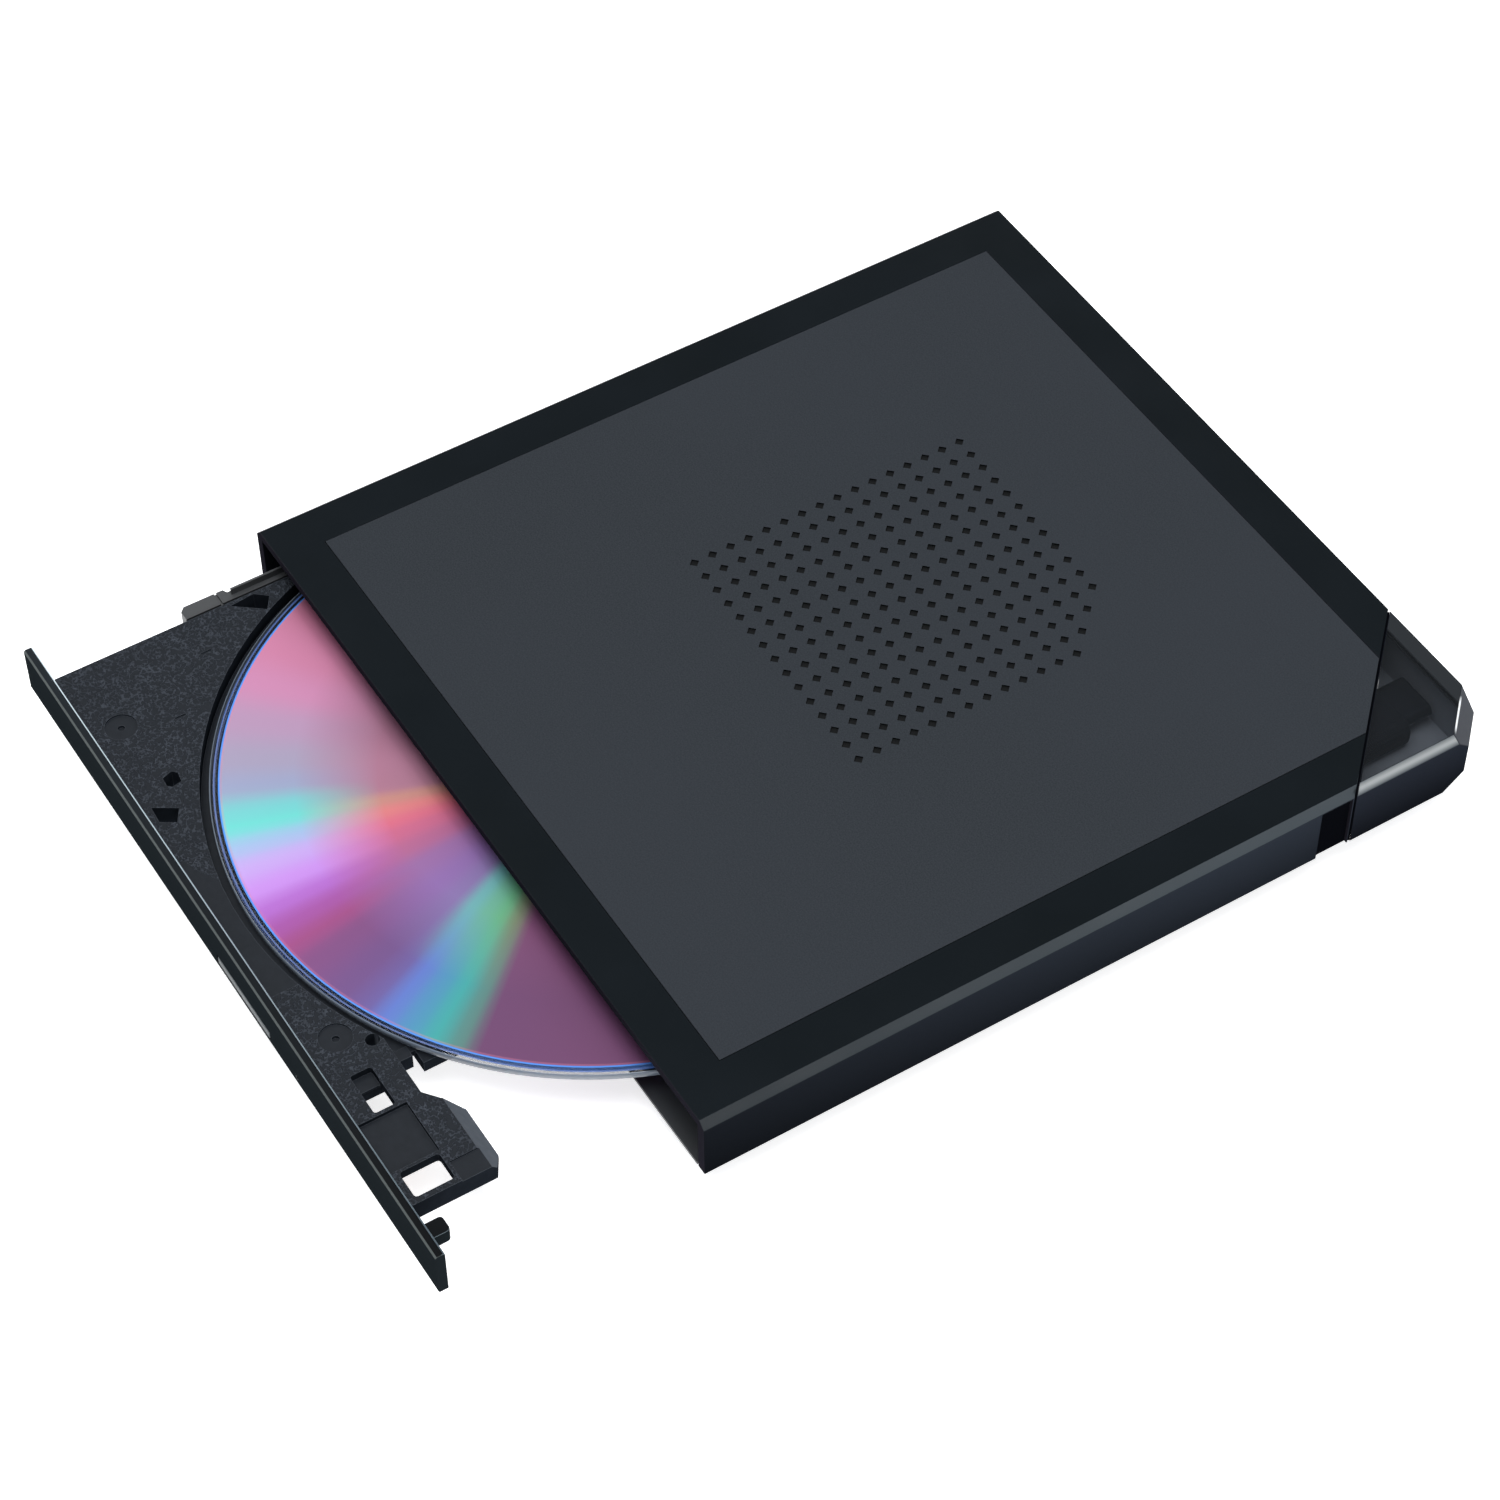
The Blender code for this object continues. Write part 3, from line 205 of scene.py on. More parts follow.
def add_sky():
    """A white dome that falls off to grey at the horizon."""
    world = bpy.data.worlds.new("studio")
    world.use_nodes = True
    tree = world.node_tree
    backdrop = tree.nodes["Background"]
    backdrop.inputs["Strength"].default_value = SKY_STRENGTH
    place = tree.nodes.new("ShaderNodeTexCoord")
    parts = tree.nodes.new("ShaderNodeSeparateXYZ")
    ramp = tree.nodes.new("ShaderNodeValToRGB")
    ramp.color_ramp.elements[0].color = (0.10, 0.105, 0.115, 1)
    ramp.color_ramp.elements[1].position = SKY_EDGE
    ramp.color_ramp.elements[1].color = (0.93, 0.96, 1.0, 1)
    tree.links.new(place.outputs["Generated"], parts.inputs["Vector"])
    tree.links.new(parts.outputs["Z"], ramp.inputs["Fac"])
    tree.links.new(ramp.outputs["Color"], backdrop.inputs["Color"])
    bpy.context.scene.world = world


def add_studio():
    add_floor()
    add_sky()
    bpy.context.scene.view_settings.view_transform = "Standard"
    for softbox in SOFTBOXES:
        add_softbox(*softbox)


# ---------------------------------------------------------------- materials

def srgb(red, green, blue):
    """An 8-bit display colour as linear light."""
    def linear(value):
        value /= 255
        return value / 12.92 if value <= 0.04045 else ((value + 0.055) / 1.055) ** 2.4
    return (linear(red), linear(green), linear(blue))


class Look:
    """A Principled material, and the procedural detail that is added to it."""

    def __init__(self, name, colour, roughness, metallic=0.0, **sockets):
        self.material = bpy.data.materials.new(name)
        self.material.use_nodes = True
        self.tree = self.material.node_tree
        self.shader = self.tree.nodes["Principled BSDF"]
        self.colour = (*colour, 1.0)
        self.shader.inputs["Base Color"].default_value = self.colour
        self.shader.inputs["Roughness"].default_value = roughness
        self.shader.inputs["Metallic"].default_value = metallic
        for socket, value in sockets.items():
            self.shader.inputs[socket.replace("_", " ")].default_value = value
        self.place = self.add("ShaderNodeTexCoord").outputs["Object"]
        self.normal = None

    def add(self, kind, **values):
        node = self.tree.nodes.new(kind)
        for name, value in values.items():
            setattr(node, name, value)
        return node

    def link(self, source, target):
        self.tree.links.new(source, target)

    def stretched(self, stretch):
        mapping = self.add("ShaderNodeMapping")
        mapping.inputs["Scale"].default_value = stretch
        self.link(self.place, mapping.inputs["Vector"])
        return mapping.outputs["Vector"]

    def noise(self, scale, detail=3.0, stretch=None):
        node = self.add("ShaderNodeTexNoise")
        node.inputs["Scale"].default_value = scale
        node.inputs["Detail"].default_value = detail
        self.link(self.stretched(stretch) if stretch else self.place, node.inputs["Vector"])
        return node.outputs["Fac"]

    def cell_borders(self, scale, stretch):
        """The distance from the borders of a pattern of cells."""
        node = self.add("ShaderNodeTexVoronoi", feature="DISTANCE_TO_EDGE")
        node.inputs["Scale"].default_value = scale
        self.link(self.stretched(stretch), node.inputs["Vector"])
        return node.outputs["Distance"]

    def spread(self, value, low, high, start=0.3, end=0.7):
        node = self.add("ShaderNodeMapRange")
        node.inputs["From Min"].default_value = start
        node.inputs["From Max"].default_value = end
        node.inputs["To Min"].default_value = low
        node.inputs["To Max"].default_value = high
        self.link(value, node.inputs["Value"])
        return node.outputs["Result"]

    def vary_roughness(self, low, high, scale, stretch=None):
        value = self.spread(self.noise(scale, 4.0, stretch), low, high)
        self.link(value, self.shader.inputs["Roughness"])

    def mix_colour(self, value, other):
        """Blends the colour so far towards other by value."""
        node = self.add("ShaderNodeMix", data_type="RGBA")
        target = self.shader.inputs["Base Color"]
        if target.is_linked:
            self.link(target.links[0].from_socket, node.inputs["A"])
        else:
            node.inputs["A"].default_value = self.colour
        node.inputs["B"].default_value = (*other, 1.0)
        self.link(value, node.inputs["Factor"])
        self.link(node.outputs["Result"], target)

    def vary_colour(self, other, scale, amount=1.0, stretch=None):
        self.mix_colour(self.spread(self.noise(scale, 3.0, stretch), 0.0, amount), other)

    def bump(self, height, depth, strength=1.0):
        """Adds relief; depth is in millimetres."""
        node = self.add("ShaderNodeBump")
        node.inputs["Distance"].default_value = depth * MM
        node.inputs["Strength"].default_value = strength
        self.link(height, node.inputs["Height"])
        if self.normal:
            self.link(self.normal, node.inputs["Normal"])
        self.normal = node.outputs["Normal"]
        self.link(self.normal, self.shader.inputs["Normal"])

    def facing(self, axis, low, high, start=0.1, end=0.6):
        """Goes from low on faces that run along the axis to high on faces square to it."""
        surface = self.add("ShaderNodeNewGeometry")
        parts = self.add("ShaderNodeSeparateXYZ")
        self.link(surface.outputs["Normal"], parts.inputs["Vector"])
        size = self.maths("ABSOLUTE", parts.outputs[axis])
        return self.spread(size, low, high, start, end)

    def facing_up(self, low, high, start=0.1, end=0.6):
        return self.facing("Z", low, high, start, end)

    def slopes(self):
        """Is 1 on faces that lie neither level nor upright."""
        return self.times(self.facing_up(0.0, 1.0, 0.2, 0.6), self.facing_up(1.0, 0.0, 0.8, 0.9))

    def along(self, axis, low, high, start, end):
        """Goes from low to high between two places on an axis, given in millimetres."""
        parts = self.add("ShaderNodeSeparateXYZ")
        self.link(self.place, parts.inputs["Vector"])
        return self.spread(parts.outputs[axis], low, high, start * MM, end * MM)

    def from_centre(self, centre):
        """The turn round an upright axis, from 0 to 1, and the distance from it in millimetres."""
        apart = self.add("ShaderNodeVectorMath", operation="SUBTRACT")
        apart.inputs[1].default_value = centre * MM
        self.link(self.place, apart.inputs[0])
        level = self.add("ShaderNodeVectorMath", operation="MULTIPLY")
        level.inputs[1].default_value = (1 / MM, 1 / MM, 0)
        self.link(apart.outputs["Vector"], level.inputs[0])
        parts = self.add("ShaderNodeSeparateXYZ")
        self.link(level.outputs["Vector"], parts.inputs["Vector"])
        angle = self.maths("ARCTAN2", parts.outputs["Y"], parts.outputs["X"])
        turn = self.maths("WRAP", self.maths("DIVIDE", angle, 2 * math.pi), 1.0, 0.0)
        distance = self.add("ShaderNodeVectorMath", operation="LENGTH")
        self.link(level.outputs["Vector"], distance.inputs[0])
        return turn, distance.outputs["Value"]

    def band(self, value, start, end, soft):
        """Is 1 between start and end, and fades out over soft on both sides."""
        rise = self.spread(value, 0.0, 1.0, start - soft, start)
        fall = self.spread(value, 1.0, 0.0, end, end + soft)
        return self.times(rise, fall)

    def maths(self, operation, *values):
        """Each value is a number or another node's output."""
        node = self.add("ShaderNodeMath", operation=operation)
        for value, socket in zip(values, node.inputs):
            if isinstance(value, (int, float)):
                socket.default_value = value
            else:
                self.link(value, socket)
        return node.outputs["Value"]

    def times(self, first, second):
        return self.maths("MULTIPLY", first, second)

    def drive(self, value, socket):
        self.link(value, self.shader.inputs[socket])

    def wear_and_sheen_edges(self, colour, radius, amount):
        """Lightens what lies within radius millimetres of a sharp edge: rubbed wear on moulded plastic
        and sheet, and a painted highlight on the tray.
        """
        rounded = self.add("ShaderNodeBevel", samples=6)
        rounded.inputs["Radius"].default_value = radius * MM
        flat = self.add("ShaderNodeNewGeometry")
        match = self.add("ShaderNodeVectorMath", operation="DOT_PRODUCT")
        self.link(rounded.outputs["Normal"], match.inputs[0])
        self.link(flat.outputs["Normal"], match.inputs[1])
        self.mix_colour(self.spread(match.outputs["Value"], amount, 0.0, 0.75, 0.995), colour)


def moulded(name, colour, roughness, grain=0.35, depth=0.02, edge=None, **sockets):
    """Moulded plastic: fine grain, slight mottling and edges rubbed a little lighter."""
    look = Look(name, colour, roughness, **sockets)
    look.vary_roughness(roughness - 0.05, roughness + 0.07, 120)
    look.vary_colour([c * 0.86 for c in colour], 90, 0.8)
    look.bump(look.noise(1000 / grain, 2.0), depth, 0.5)
    look.bump(look.noise(60, 2.0), 0.03, 0.15)
    if edge:
        look.wear_and_sheen_edges(edge, 0.25, 0.7)
    return look.material


def gloss_case():
    """Black gloss on top; the upright walls are satin and darkened by painted shade, and a painted
    highlight gives them a slate tint towards the top and the rear; the right facet has a painted
    highlight towards the rear.
    """
    look = Look("gloss_case", srgb(19, 24, 28), 0.2)
    look.vary_colour(srgb(15, 20, 23), 50, 0.8)
    rearward = look.along("Y", 0.3, 1.0, CASE_LOW.y, CASE_LOW.y + 95)
    walls = look.times(look.facing_up(1.0, 0.0), look.along("Z", 0.45, 1.0, CASE_LOW.z, CASE_HIGH.z - 1))
    # Painted shade: the upright walls are darker than the top.
    look.mix_colour(look.facing_up(1.0, 0.0), srgb(8, 9, 11))
    # Painted highlight: the walls turn slate towards the top and the rear.
    look.mix_colour(look.times(walls, rearward), srgb(40, 45, 53))
    # Painted highlight along the right facet, stronger towards the rear.
    right_edge = look.along("X", 0.0, 1.0, CASE_HIGH.x - 3, CASE_HIGH.x - 2)
    right_slope_highlight = look.times(look.slopes(), right_edge)
    look.mix_colour(look.times(right_slope_highlight, rearward), srgb(58, 65, 70))
    look.mix_colour(look.facing("Y", 0.0, 1.0, 0.6, 0.9), srgb(34, 33, 40))
    look.drive(look.facing_up(0.0, 0.06), "Specular IOR Level")
    look.vary_roughness(0.16, 0.26, 70)
    look.bump(look.noise(55, 3.0), 0.02, 0.12)
    look.bump(look.noise(2400, 2.0), 0.01, 0.25)
    return look.material


def panel_grain():
    """Matt slate with a fine grain."""
    look = Look("panel_grain", srgb(51, 55, 60), 0.58, Specular_IOR_Level=0.05)
    look.vary_colour(srgb(39, 43, 47), 4200, 0.9)
    look.vary_colour(srgb(49, 53, 59), 14, 0.5)
    look.vary_roughness(0.5, 0.68, 2600)
    look.bump(look.noise(3200, 2.0), 0.02, 0.6)
    return look.material


# Painted shade: the shallow diamond dimples are coloured near black for the shade in them.
def pit_shade_black():
    return moulded("pit_shade_black", srgb(12, 14, 15), 0.5, Specular_IOR_Level=0.1)


def shadow_black():
    return moulded("shadow_black", srgb(8, 9, 13), 0.6, Specular_IOR_Level=0.0)


def paint_cap_facet_light(look):
    """Painted light: a soft gleam along the right facet and a bright line over the one at the cut corner
    are painted highlights, and both facets get painted tones for the light on them.
    """
    side_facet = look.times(look.slopes(), look.facing("Y", 1.0, 0.0, 0.1, 0.2))
    corner_facet = look.times(look.slopes(), look.facing("Y", 0.0, 1.0, 0.2, 0.4))
    # Painted tones for the light on the two facets.
    look.mix_colour(corner_facet, srgb(36, 41, 50))
    look.mix_colour(side_facet, srgb(76, 82, 87))
    # Painted highlight: a soft gleam along the right facet.
    height = look.along("Z", 0.0, CAP_FACET, CASE_HIGH.z - CAP_FACET, CASE_HIGH.z)
    gleam = look.band(height, 1.25, 1.45, 0.5)
    look.mix_colour(look.times(side_facet, gleam), srgb(148, 152, 153))
    # Painted highlight: a bright line along the top edge of the corner facet.
    near_corner = look.times(look.along("X", 0.0, 1.0, CASE_HIGH.x - 7, CASE_HIGH.x - 6),
                             look.along("Y", 0.0, 1.0, CASE_HIGH.y - 7, CASE_HIGH.y - 6))
    diagonal = look.times(corner_facet, look.facing("X", 0.0, 1.0, 0.2, 0.4))
    rim = look.along("Z", 0.0, 1.0, CASE_HIGH.z - 0.4, CASE_HIGH.z - 0.3)
    look.mix_colour(look.times(look.times(diagonal, near_corner), rim), srgb(235, 238, 240))


def smoked_cap():
    """Smoked and see-through on top, except over the rear wall; the walls are as good as black, with a
    painted highlight that lightens them towards the top.
    """
    look = Look("smoked_cap", srgb(8, 9, 12), 0.06)
    # Painted highlight: the walls lighten towards the top.
    walls = look.times(look.facing_up(1.0, 0.0), look.along("Z", 0.2, 1.0, CASE_LOW.z, CASE_HIGH.z - 1))
    look.mix_colour(walls, srgb(34, 38, 46))
    top = look.facing_up(0.0, 1.0, 0.88, 0.96)
    look.mix_colour(top, srgb(36, 39, 42))
    over_wall = look.times(top, look.along("Y", 0.0, 1.0, CASE_HIGH.y - 3.2, CASE_HIGH.y - 2.6))
    look.mix_colour(over_wall, srgb(41, 44, 47))
    paint_cap_facet_light(look)
    look.drive(look.maths("MAXIMUM", look.spread(top, 1.0, 0.3, 0.0, 1.0), over_wall), "Alpha")
    look.drive(look.facing_up(0.0, 0.1, 0.1, 0.5), "Specular IOR Level")
    look.vary_roughness(0.03, 0.09, 90)
    look.bump(look.noise(50, 2.0), 0.02, 0.1)
    return look.material


# Pale grey for the painted light in the cable bay.
def lit_bay_grey():
    return moulded("lit_bay_grey", srgb(148, 155, 167), 0.6, Specular_IOR_Level=0.1)


def tray_grain():
    """A coarse leather grain; shallow smooth fields lie a little below it. Its edges and sloping facets
    get painted highlights.
    """
    look = Look("tray_grain", srgb(29, 33, 39), 0.5)
    grained = look.along("Z", 0.0, 1.0, TRAY_HIGH.z - 0.1, TRAY_HIGH.z - 0.04)
    folds = look.noise(GRAIN_SCALE, 1.5)
    ridges = look.times(grained, look.band(folds, 0.49, 0.54, 0.05))
    look.mix_colour(ridges, srgb(58, 63, 71))
    look.vary_colour(srgb(22, 26, 31), 700, 0.5)
    look.drive(look.facing_up(0.0, 0.15), "Specular IOR Level")
    look.vary_roughness(0.42, 0.6, 900)
    look.bump(ridges, 0.15, 0.9)
    look.bump(look.noise(2600, 2.0), 0.02, 0.3)
    # Painted highlights along the edges and on the sloping facets.
    look.wear_and_sheen_edges(srgb(84, 90, 98), 0.2, 0.5)
    look.mix_colour(look.slopes(), srgb(74, 80, 88))
    return look.material


def bezel_black():
    """Satin black, darkened by painted shade from the left end to the right one and a little on the
    upright faces; painted highlights lie on the chamfers and along the rear edge, fading towards the
    right.
    """
    look = Look("bezel_black", srgb(31, 36, 41), 0.4)
    look.vary_colour(srgb(26, 31, 35), 160, 0.8)
    rightward = look.along("X", 0.0, 1.0, BEZEL_LOW.x, BEZEL_HIGH.x)
    # Painted shade: darker towards the right end, and a little darker on the upright faces.
    look.mix_colour(rightward, srgb(5, 7, 10))
    look.mix_colour(look.facing_up(1.0, 0.0), srgb(28, 33, 36))
    # Painted highlights on the chamfers, and a bright line along the rear edge that fades towards the
    # right.
    look.mix_colour(look.slopes(), srgb(80, 86, 86))
    behind = look.along("Y", 0.0, 1.0, BEZEL_LOW.y + 1.0, BEZEL_LOW.y + 1.2)
    rear = look.times(look.slopes(), behind)
    look.mix_colour(rear, srgb(214, 232, 240))
    look.mix_colour(look.times(rear, rightward), srgb(70, 84, 94))
    look.drive(look.facing_up(0.0, 0.08), "Specular IOR Level")
    look.vary_roughness(0.3, 0.45, 200)
    look.bump(look.noise(1800, 2.0), 0.012, 0.5)
    look.bump(look.noise(60, 2.0), 0.02, 0.15)
    return look.material


def sheet_metal(name, colour, roughness, stretch=(1, 18, 1)):
    """Rolled sheet: long faint streaks, small scuffs and brighter cut edges."""
    look = Look(name, colour, roughness, 1.0)
    look.vary_roughness(roughness - 0.1, roughness + 0.12, 120, stretch)
    look.vary_colour([c * 0.8 for c in colour], 60, 0.7)
    look.bump(look.noise(260, 3.0, stretch), 0.01, 0.3)
    look.wear_and_sheen_edges([min(1.0, c * 1.25) for c in colour], 0.15, 0.6)
    return look.material


def board():
    """Green solder mask with paler traces under it."""
    look = Look("board", srgb(22, 82, 54), 0.38)
    traces = look.spread(look.cell_borders(420, (1, 1, 0)), 0.75, 0.0, 0.03, 0.06)
    look.mix_colour(traces, srgb(44, 122, 82))
    look.bump(traces, 0.03, 0.5)
    look.vary_roughness(0.3, 0.45, 300)
    return look.material


def windings():
    """Copper wire wound in layers."""
    look = Look("windings", srgb(198, 118, 70), 0.3, 0.9)
    look.bump(look.noise(900, 2.0, (1, 1, 6)), 0.05, 0.6)
    look.vary_colour(srgb(150, 78, 40), 500, 0.7)
    return look.material


def ribbon_film():
    """Amber film with the conductors showing along it."""
    look = Look("ribbon_film", srgb(176, 104, 40), 0.3)
    look.vary_colour(srgb(120, 62, 22), 1100, 0.8, (1, 0.02, 0.02))
    look.bump(look.noise(1100, 1.0, (1, 0.02, 0.02)), 0.03, 0.4)
    return look.material


def lens_clear():
    look = Look("lens_clear", srgb(190, 205, 235), 0.04, Transmission_Weight=0.6, IOR=1.5)
    look.vary_roughness(0.03, 0.07, 200)
    look.bump(look.noise(200, 1.0), 0.01, 0.1)
    return look.material


# The painted fan of diffracted light in the data layer: angles round the hub, in degrees from +X, and
# display colours
OUTER_SECTORS = [
    # plum in the painted shade of the case, turning to rose
    (0, (112, 76, 110)), (70, (120, 84, 132)), (150, (170, 104, 136)), (200, (186, 112, 138)),
    # pink, turning to a greyish lilac
    (214, (208, 132, 166)), (222, (206, 140, 178)), (230, (184, 150, 182)), (238, (168, 158, 184)),
    # a teal ray
    (244, (156, 163, 194)), (249, (120, 204, 204)), (252, (112, 214, 206)), (256, (162, 188, 224)),
    # a violet ray, ending in magenta
    (260, (195, 166, 230)), (265, (198, 144, 228)), (269, (178, 110, 202)), (273, (164, 88, 164)),
    # purple
    (277, (158, 80, 132)), (281, (130, 82, 130)), (289, (116, 85, 136)), (293, (112, 94, 152)),
    # a ray from blue to sea green
    (297, (100, 124, 198)), (301, (84, 146, 184)), (305, (72, 166, 164)), (309, (95, 136, 130)),
    # plum again, in the painted shade of the case
    (312, (114, 76, 112)), (332, (116, 76, 110)), (360, (112, 76, 110)),
]
INNER_SECTORS = [
    # plum in the painted shade of the case, turning to a dusty rose
    (0, (120, 78, 112)), (70, (130, 90, 140)), (150, (150, 104, 136)), (228, (168, 116, 140)),
    # an orange to coral ray
    (240, (178, 124, 148)), (248, (176, 123, 145)), (252, (200, 142, 132)), (256, (222, 130, 132)),
    (260, (219, 113, 136)), (264, (203, 108, 141)), (270, (180, 106, 146)), (276, (154, 110, 164)),
    # lavender, then a green ray
    (284, (145, 111, 172)), (291, (138, 118, 171)), (296, (112, 176, 178)), (300, (111, 178, 153)),
    (304, (108, 179, 136)), (308, (125, 140, 113)), (312, (130, 82, 118)), (360, (120, 78, 112)),
]

# Distances from the hub, in millimetres, between which the inner fan gives way to the outer one
FAN_START = 34.0
FAN_END = 47.0


def sector_ramp(look, turn, sectors):
    """The colours of a fan by the turn round the hub."""
    ramp = look.add("ShaderNodeValToRGB")
    ramp.color_ramp.interpolation = "EASE"
    stops = ramp.color_ramp.elements
    while len(stops) > 1:
        stops.remove(stops[-1])
    stops[0].position = 0.0
    stops[0].color = (*srgb(*sectors[0][1]), 1)
    for degrees, colour in sectors[1:]:
        stops.new(degrees / 360).color = (*srgb(*colour), 1)
    look.link(turn, ramp.inputs["Fac"])
    return ramp.outputs["Color"]


def disc_rainbow():
    """Painted light: the fan of colours that the data layer splits light into, with another fan nearer
    the hub, painted on by the turn round the hub; painted lines of light run along the edge of the
    layer.
    """
    look = Look("disc_rainbow", srgb(170, 110, 150), 0.3, 0.45, Specular_IOR_Level=0.1,
                Coat_Weight=0.1, Coat_Roughness=0.06)
    turn, distance = look.from_centre(DISC_CENTRE)
    blend = look.add("ShaderNodeMix", data_type="RGBA")
    look.link(sector_ramp(look, turn, INNER_SECTORS), blend.inputs["A"])
    look.link(sector_ramp(look, turn, OUTER_SECTORS), blend.inputs["B"])
    look.link(look.spread(distance, 0.0, 1.0, FAN_START, FAN_END), blend.inputs["Factor"])
    look.link(blend.outputs["Result"], look.shader.inputs["Base Color"])
    edge = DISC_RADIUS - DATA_EDGE
    # Painted highlights: a faint pink ring and a blue line along the edge of the data layer.
    warm = look.band(distance, edge - 0.5, edge - 0.4, 0.2)
    look.mix_colour(look.spread(warm, 0.0, 0.3, 0.0, 1.0), srgb(214, 132, 160))
    look.mix_colour(look.band(distance, edge - 0.22, edge, 0.1), srgb(90, 150, 240))
    look.mix_colour(look.spread(look.noise(30, 1.0), 0.0, 0.06, 0.1, 0.9), srgb(90, 70, 100))
    roughness = look.spread(look.noise(24, 1.0), 0.26, 0.36, 0.1, 0.9)
    look.drive(roughness, "Roughness")
    return look.material


def disc_clear():
    """Clear plastic, with painted highlights where light gathers along both of its turned edges."""
    look = Look("disc_clear", srgb(30, 36, 48), 0.08)
    distance = look.from_centre(DISC_CENTRE)[1]
    edge = DISC_RADIUS - DATA_EDGE
    outer_edge_glint = look.band(distance, DISC_RADIUS - 0.16, DISC_RADIUS, 0.1)
    inner_edge_glint = look.band(distance, edge + 0.55, edge + 0.72, 0.12)
    look.mix_colour(outer_edge_glint, srgb(112, 122, 134))
    look.mix_colour(inner_edge_glint, srgb(74, 100, 160))
    edge_glints = look.maths("MAXIMUM", outer_edge_glint, inner_edge_glint)
    look.drive(look.spread(edge_glints, 0.3, 0.85, 0.0, 1.0), "Alpha")
    look.vary_roughness(0.06, 0.12, 60)
    return look.material


# ---------------------------------------------------------------- shapes

def add_piece(name, shape, material, body):
    """A bmesh in millimetres becomes a piece that rides on a body."""
    bmesh.ops.recalc_face_normals(shape, faces=shape.faces)
    bmesh.ops.scale(shape, verts=shape.verts, vec=(MM, MM, MM))
    mesh = bpy.data.meshes.new(name)
    shape.to_mesh(mesh)
    shape.free()
    for stale in ("custom_normal", "sharp_edge"):
        if stale in mesh.attributes:
            mesh.attributes.remove(mesh.attributes[stale])
    mesh.materials.append(material)
    piece = bpy.data.objects.new(name, mesh)
    bpy.context.scene.collection.objects.link(piece)
    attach(piece, body)
    return piece


def smooth(piece, angle):
    """Shades the piece smooth, except across edges sharper than angle."""
    piece.data.shade_smooth()
    piece.data.set_sharp_from_angle(angle=math.radians(angle))


def apply_modifiers(piece):
    graph = bpy.context.evaluated_depsgraph_get()
    result = piece.evaluated_get(graph)
    mesh = bpy.data.meshes.new_from_object(result, preserve_all_data_layers=True, depsgraph=graph)
    piece.modifiers.clear()
    piece.data = mesh


def prism(outline, low, high):
    """An outline pulled up from one height to another."""
    shape = bmesh.new()
    base = [shape.verts.new((x, y, low)) for x, y in outline]
    face = shape.faces.new(base)
    grown = bmesh.ops.extrude_face_region(shape, geom=[face])
    top = [item for item in grown["geom"] if isinstance(item, bmesh.types.BMVert)]
    bmesh.ops.translate(shape, verts=top, vec=(0, 0, high - low))
    bmesh.ops.recalc_face_normals(shape, faces=shape.faces)
    return shape


def ring(profile, centre, count):
    """A closed (radius, z) profile swept round a vertical axis."""
    shape = bmesh.new()
    loops = []
    for step in range(count):
        angle = 2 * math.pi * step / count
        x_share, y_share = math.cos(angle), math.sin(angle)
        places = [(centre[0] + r * x_share, centre[1] + r * y_share, z) for r, z in profile]
        loops.append([shape.verts.new(place) for place in places])
    for step in range(count):
        here, there = loops[step], loops[(step + 1) % count]
        for index in range(len(profile)):
            after = (index + 1) % len(profile)
            shape.faces.new((here[index], here[after], there[after], there[index]))
    return shape


def cad_shape(node):
    """A node's own shape in millimetres, with its flat faces in one piece each."""
    shape = bmesh.new()
    shape.from_mesh(frame["nodes"][node].data)
    bmesh.ops.scale(shape, verts=shape.verts, vec=(1 / MM, 1 / MM, 1 / MM))
    bmesh.ops.remove_doubles(shape, verts=shape.verts, dist=WELD)
    limit = math.radians(FLAT_ANGLE)
    bmesh.ops.dissolve_limit(shape, angle_limit=limit, verts=shape.verts, edges=shape.edges)
    return shape


def softened(node, material, width, segments=2):
    """A node's own shape with its edges rounded over, in place of the node."""
    piece = add_piece(f"{node}_body", cad_shape(node), material, BODY_OF[node])
    step = piece.modifiers.new("edges", "BEVEL")
    step.width = width * MM
    step.segments = segments
    step.limit_method = "ANGLE"
    step.angle_limit = math.radians(EDGE_ANGLE)
    step.use_clamp_overlap = True
    flat = piece.modifiers.new("flat_faces", "WEIGHTED_NORMAL")
    flat.mode = "FACE_AREA"
    flat.weight = 100
    piece.data.shade_smooth()
    apply_modifiers(piece)
    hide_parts(node)


# ---------------------------------------------------------------- pieces

def dot_field(pit):
    """One mesh with all the diamonds that are cut out of the inlay."""
    dots = bmesh.new()
    top = PANEL_HIGH.z
    for row in range(DOT_ROWS):
        missing = max(0, row - (DOT_ROWS - 1 - DOT_STEPS))
        for column in range(DOT_COLUMNS - missing):
            x = DOT_LEFT + column * DOT_PITCH_X
            y = CASE_LOW.y + DOT_FRONT + row * DOT_PITCH_Y
            outline = [(x + DOT_REACH, y), (x, y + DOT_REACH), (x - DOT_REACH, y), (x, y - DOT_REACH)]
            dot = prism(outline, top - DOT_DEPTH, top + 1)
            mesh = bpy.data.meshes.new("dot")
            dot.to_mesh(mesh)
            dot.free()
            dots.from_mesh(mesh)
            bpy.data.meshes.remove(mesh)
    bmesh.ops.scale(dots, verts=dots.verts, vec=(MM, MM, MM))
    mesh = bpy.data.meshes.new("dots")
    dots.to_mesh(mesh)
    dots.free()
    mesh.materials.append(pit)
    return mesh


def dimpled_panel():
    """The matt inlay with its field of small diamond-shaped dimples."""
    grain, pit = panel_grain(), pit_shade_black()
    panel = add_piece("dimpled_panel", cad_shape("top_panel"), grain, "case")
    panel.data.materials.append(pit)
    cutter = bpy.data.objects.new("dots", dot_field(pit))
    bpy.context.scene.collection.objects.link(cutter)
    step = panel.modifiers.new("dots", "BOOLEAN")
    step.operation = "DIFFERENCE"
    step.solver = "EXACT"
    step.material_mode = "TRANSFER"
    step.object = cutter
    apply_modifiers(panel)
    bpy.data.objects.remove(cutter)
    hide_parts("top_panel")


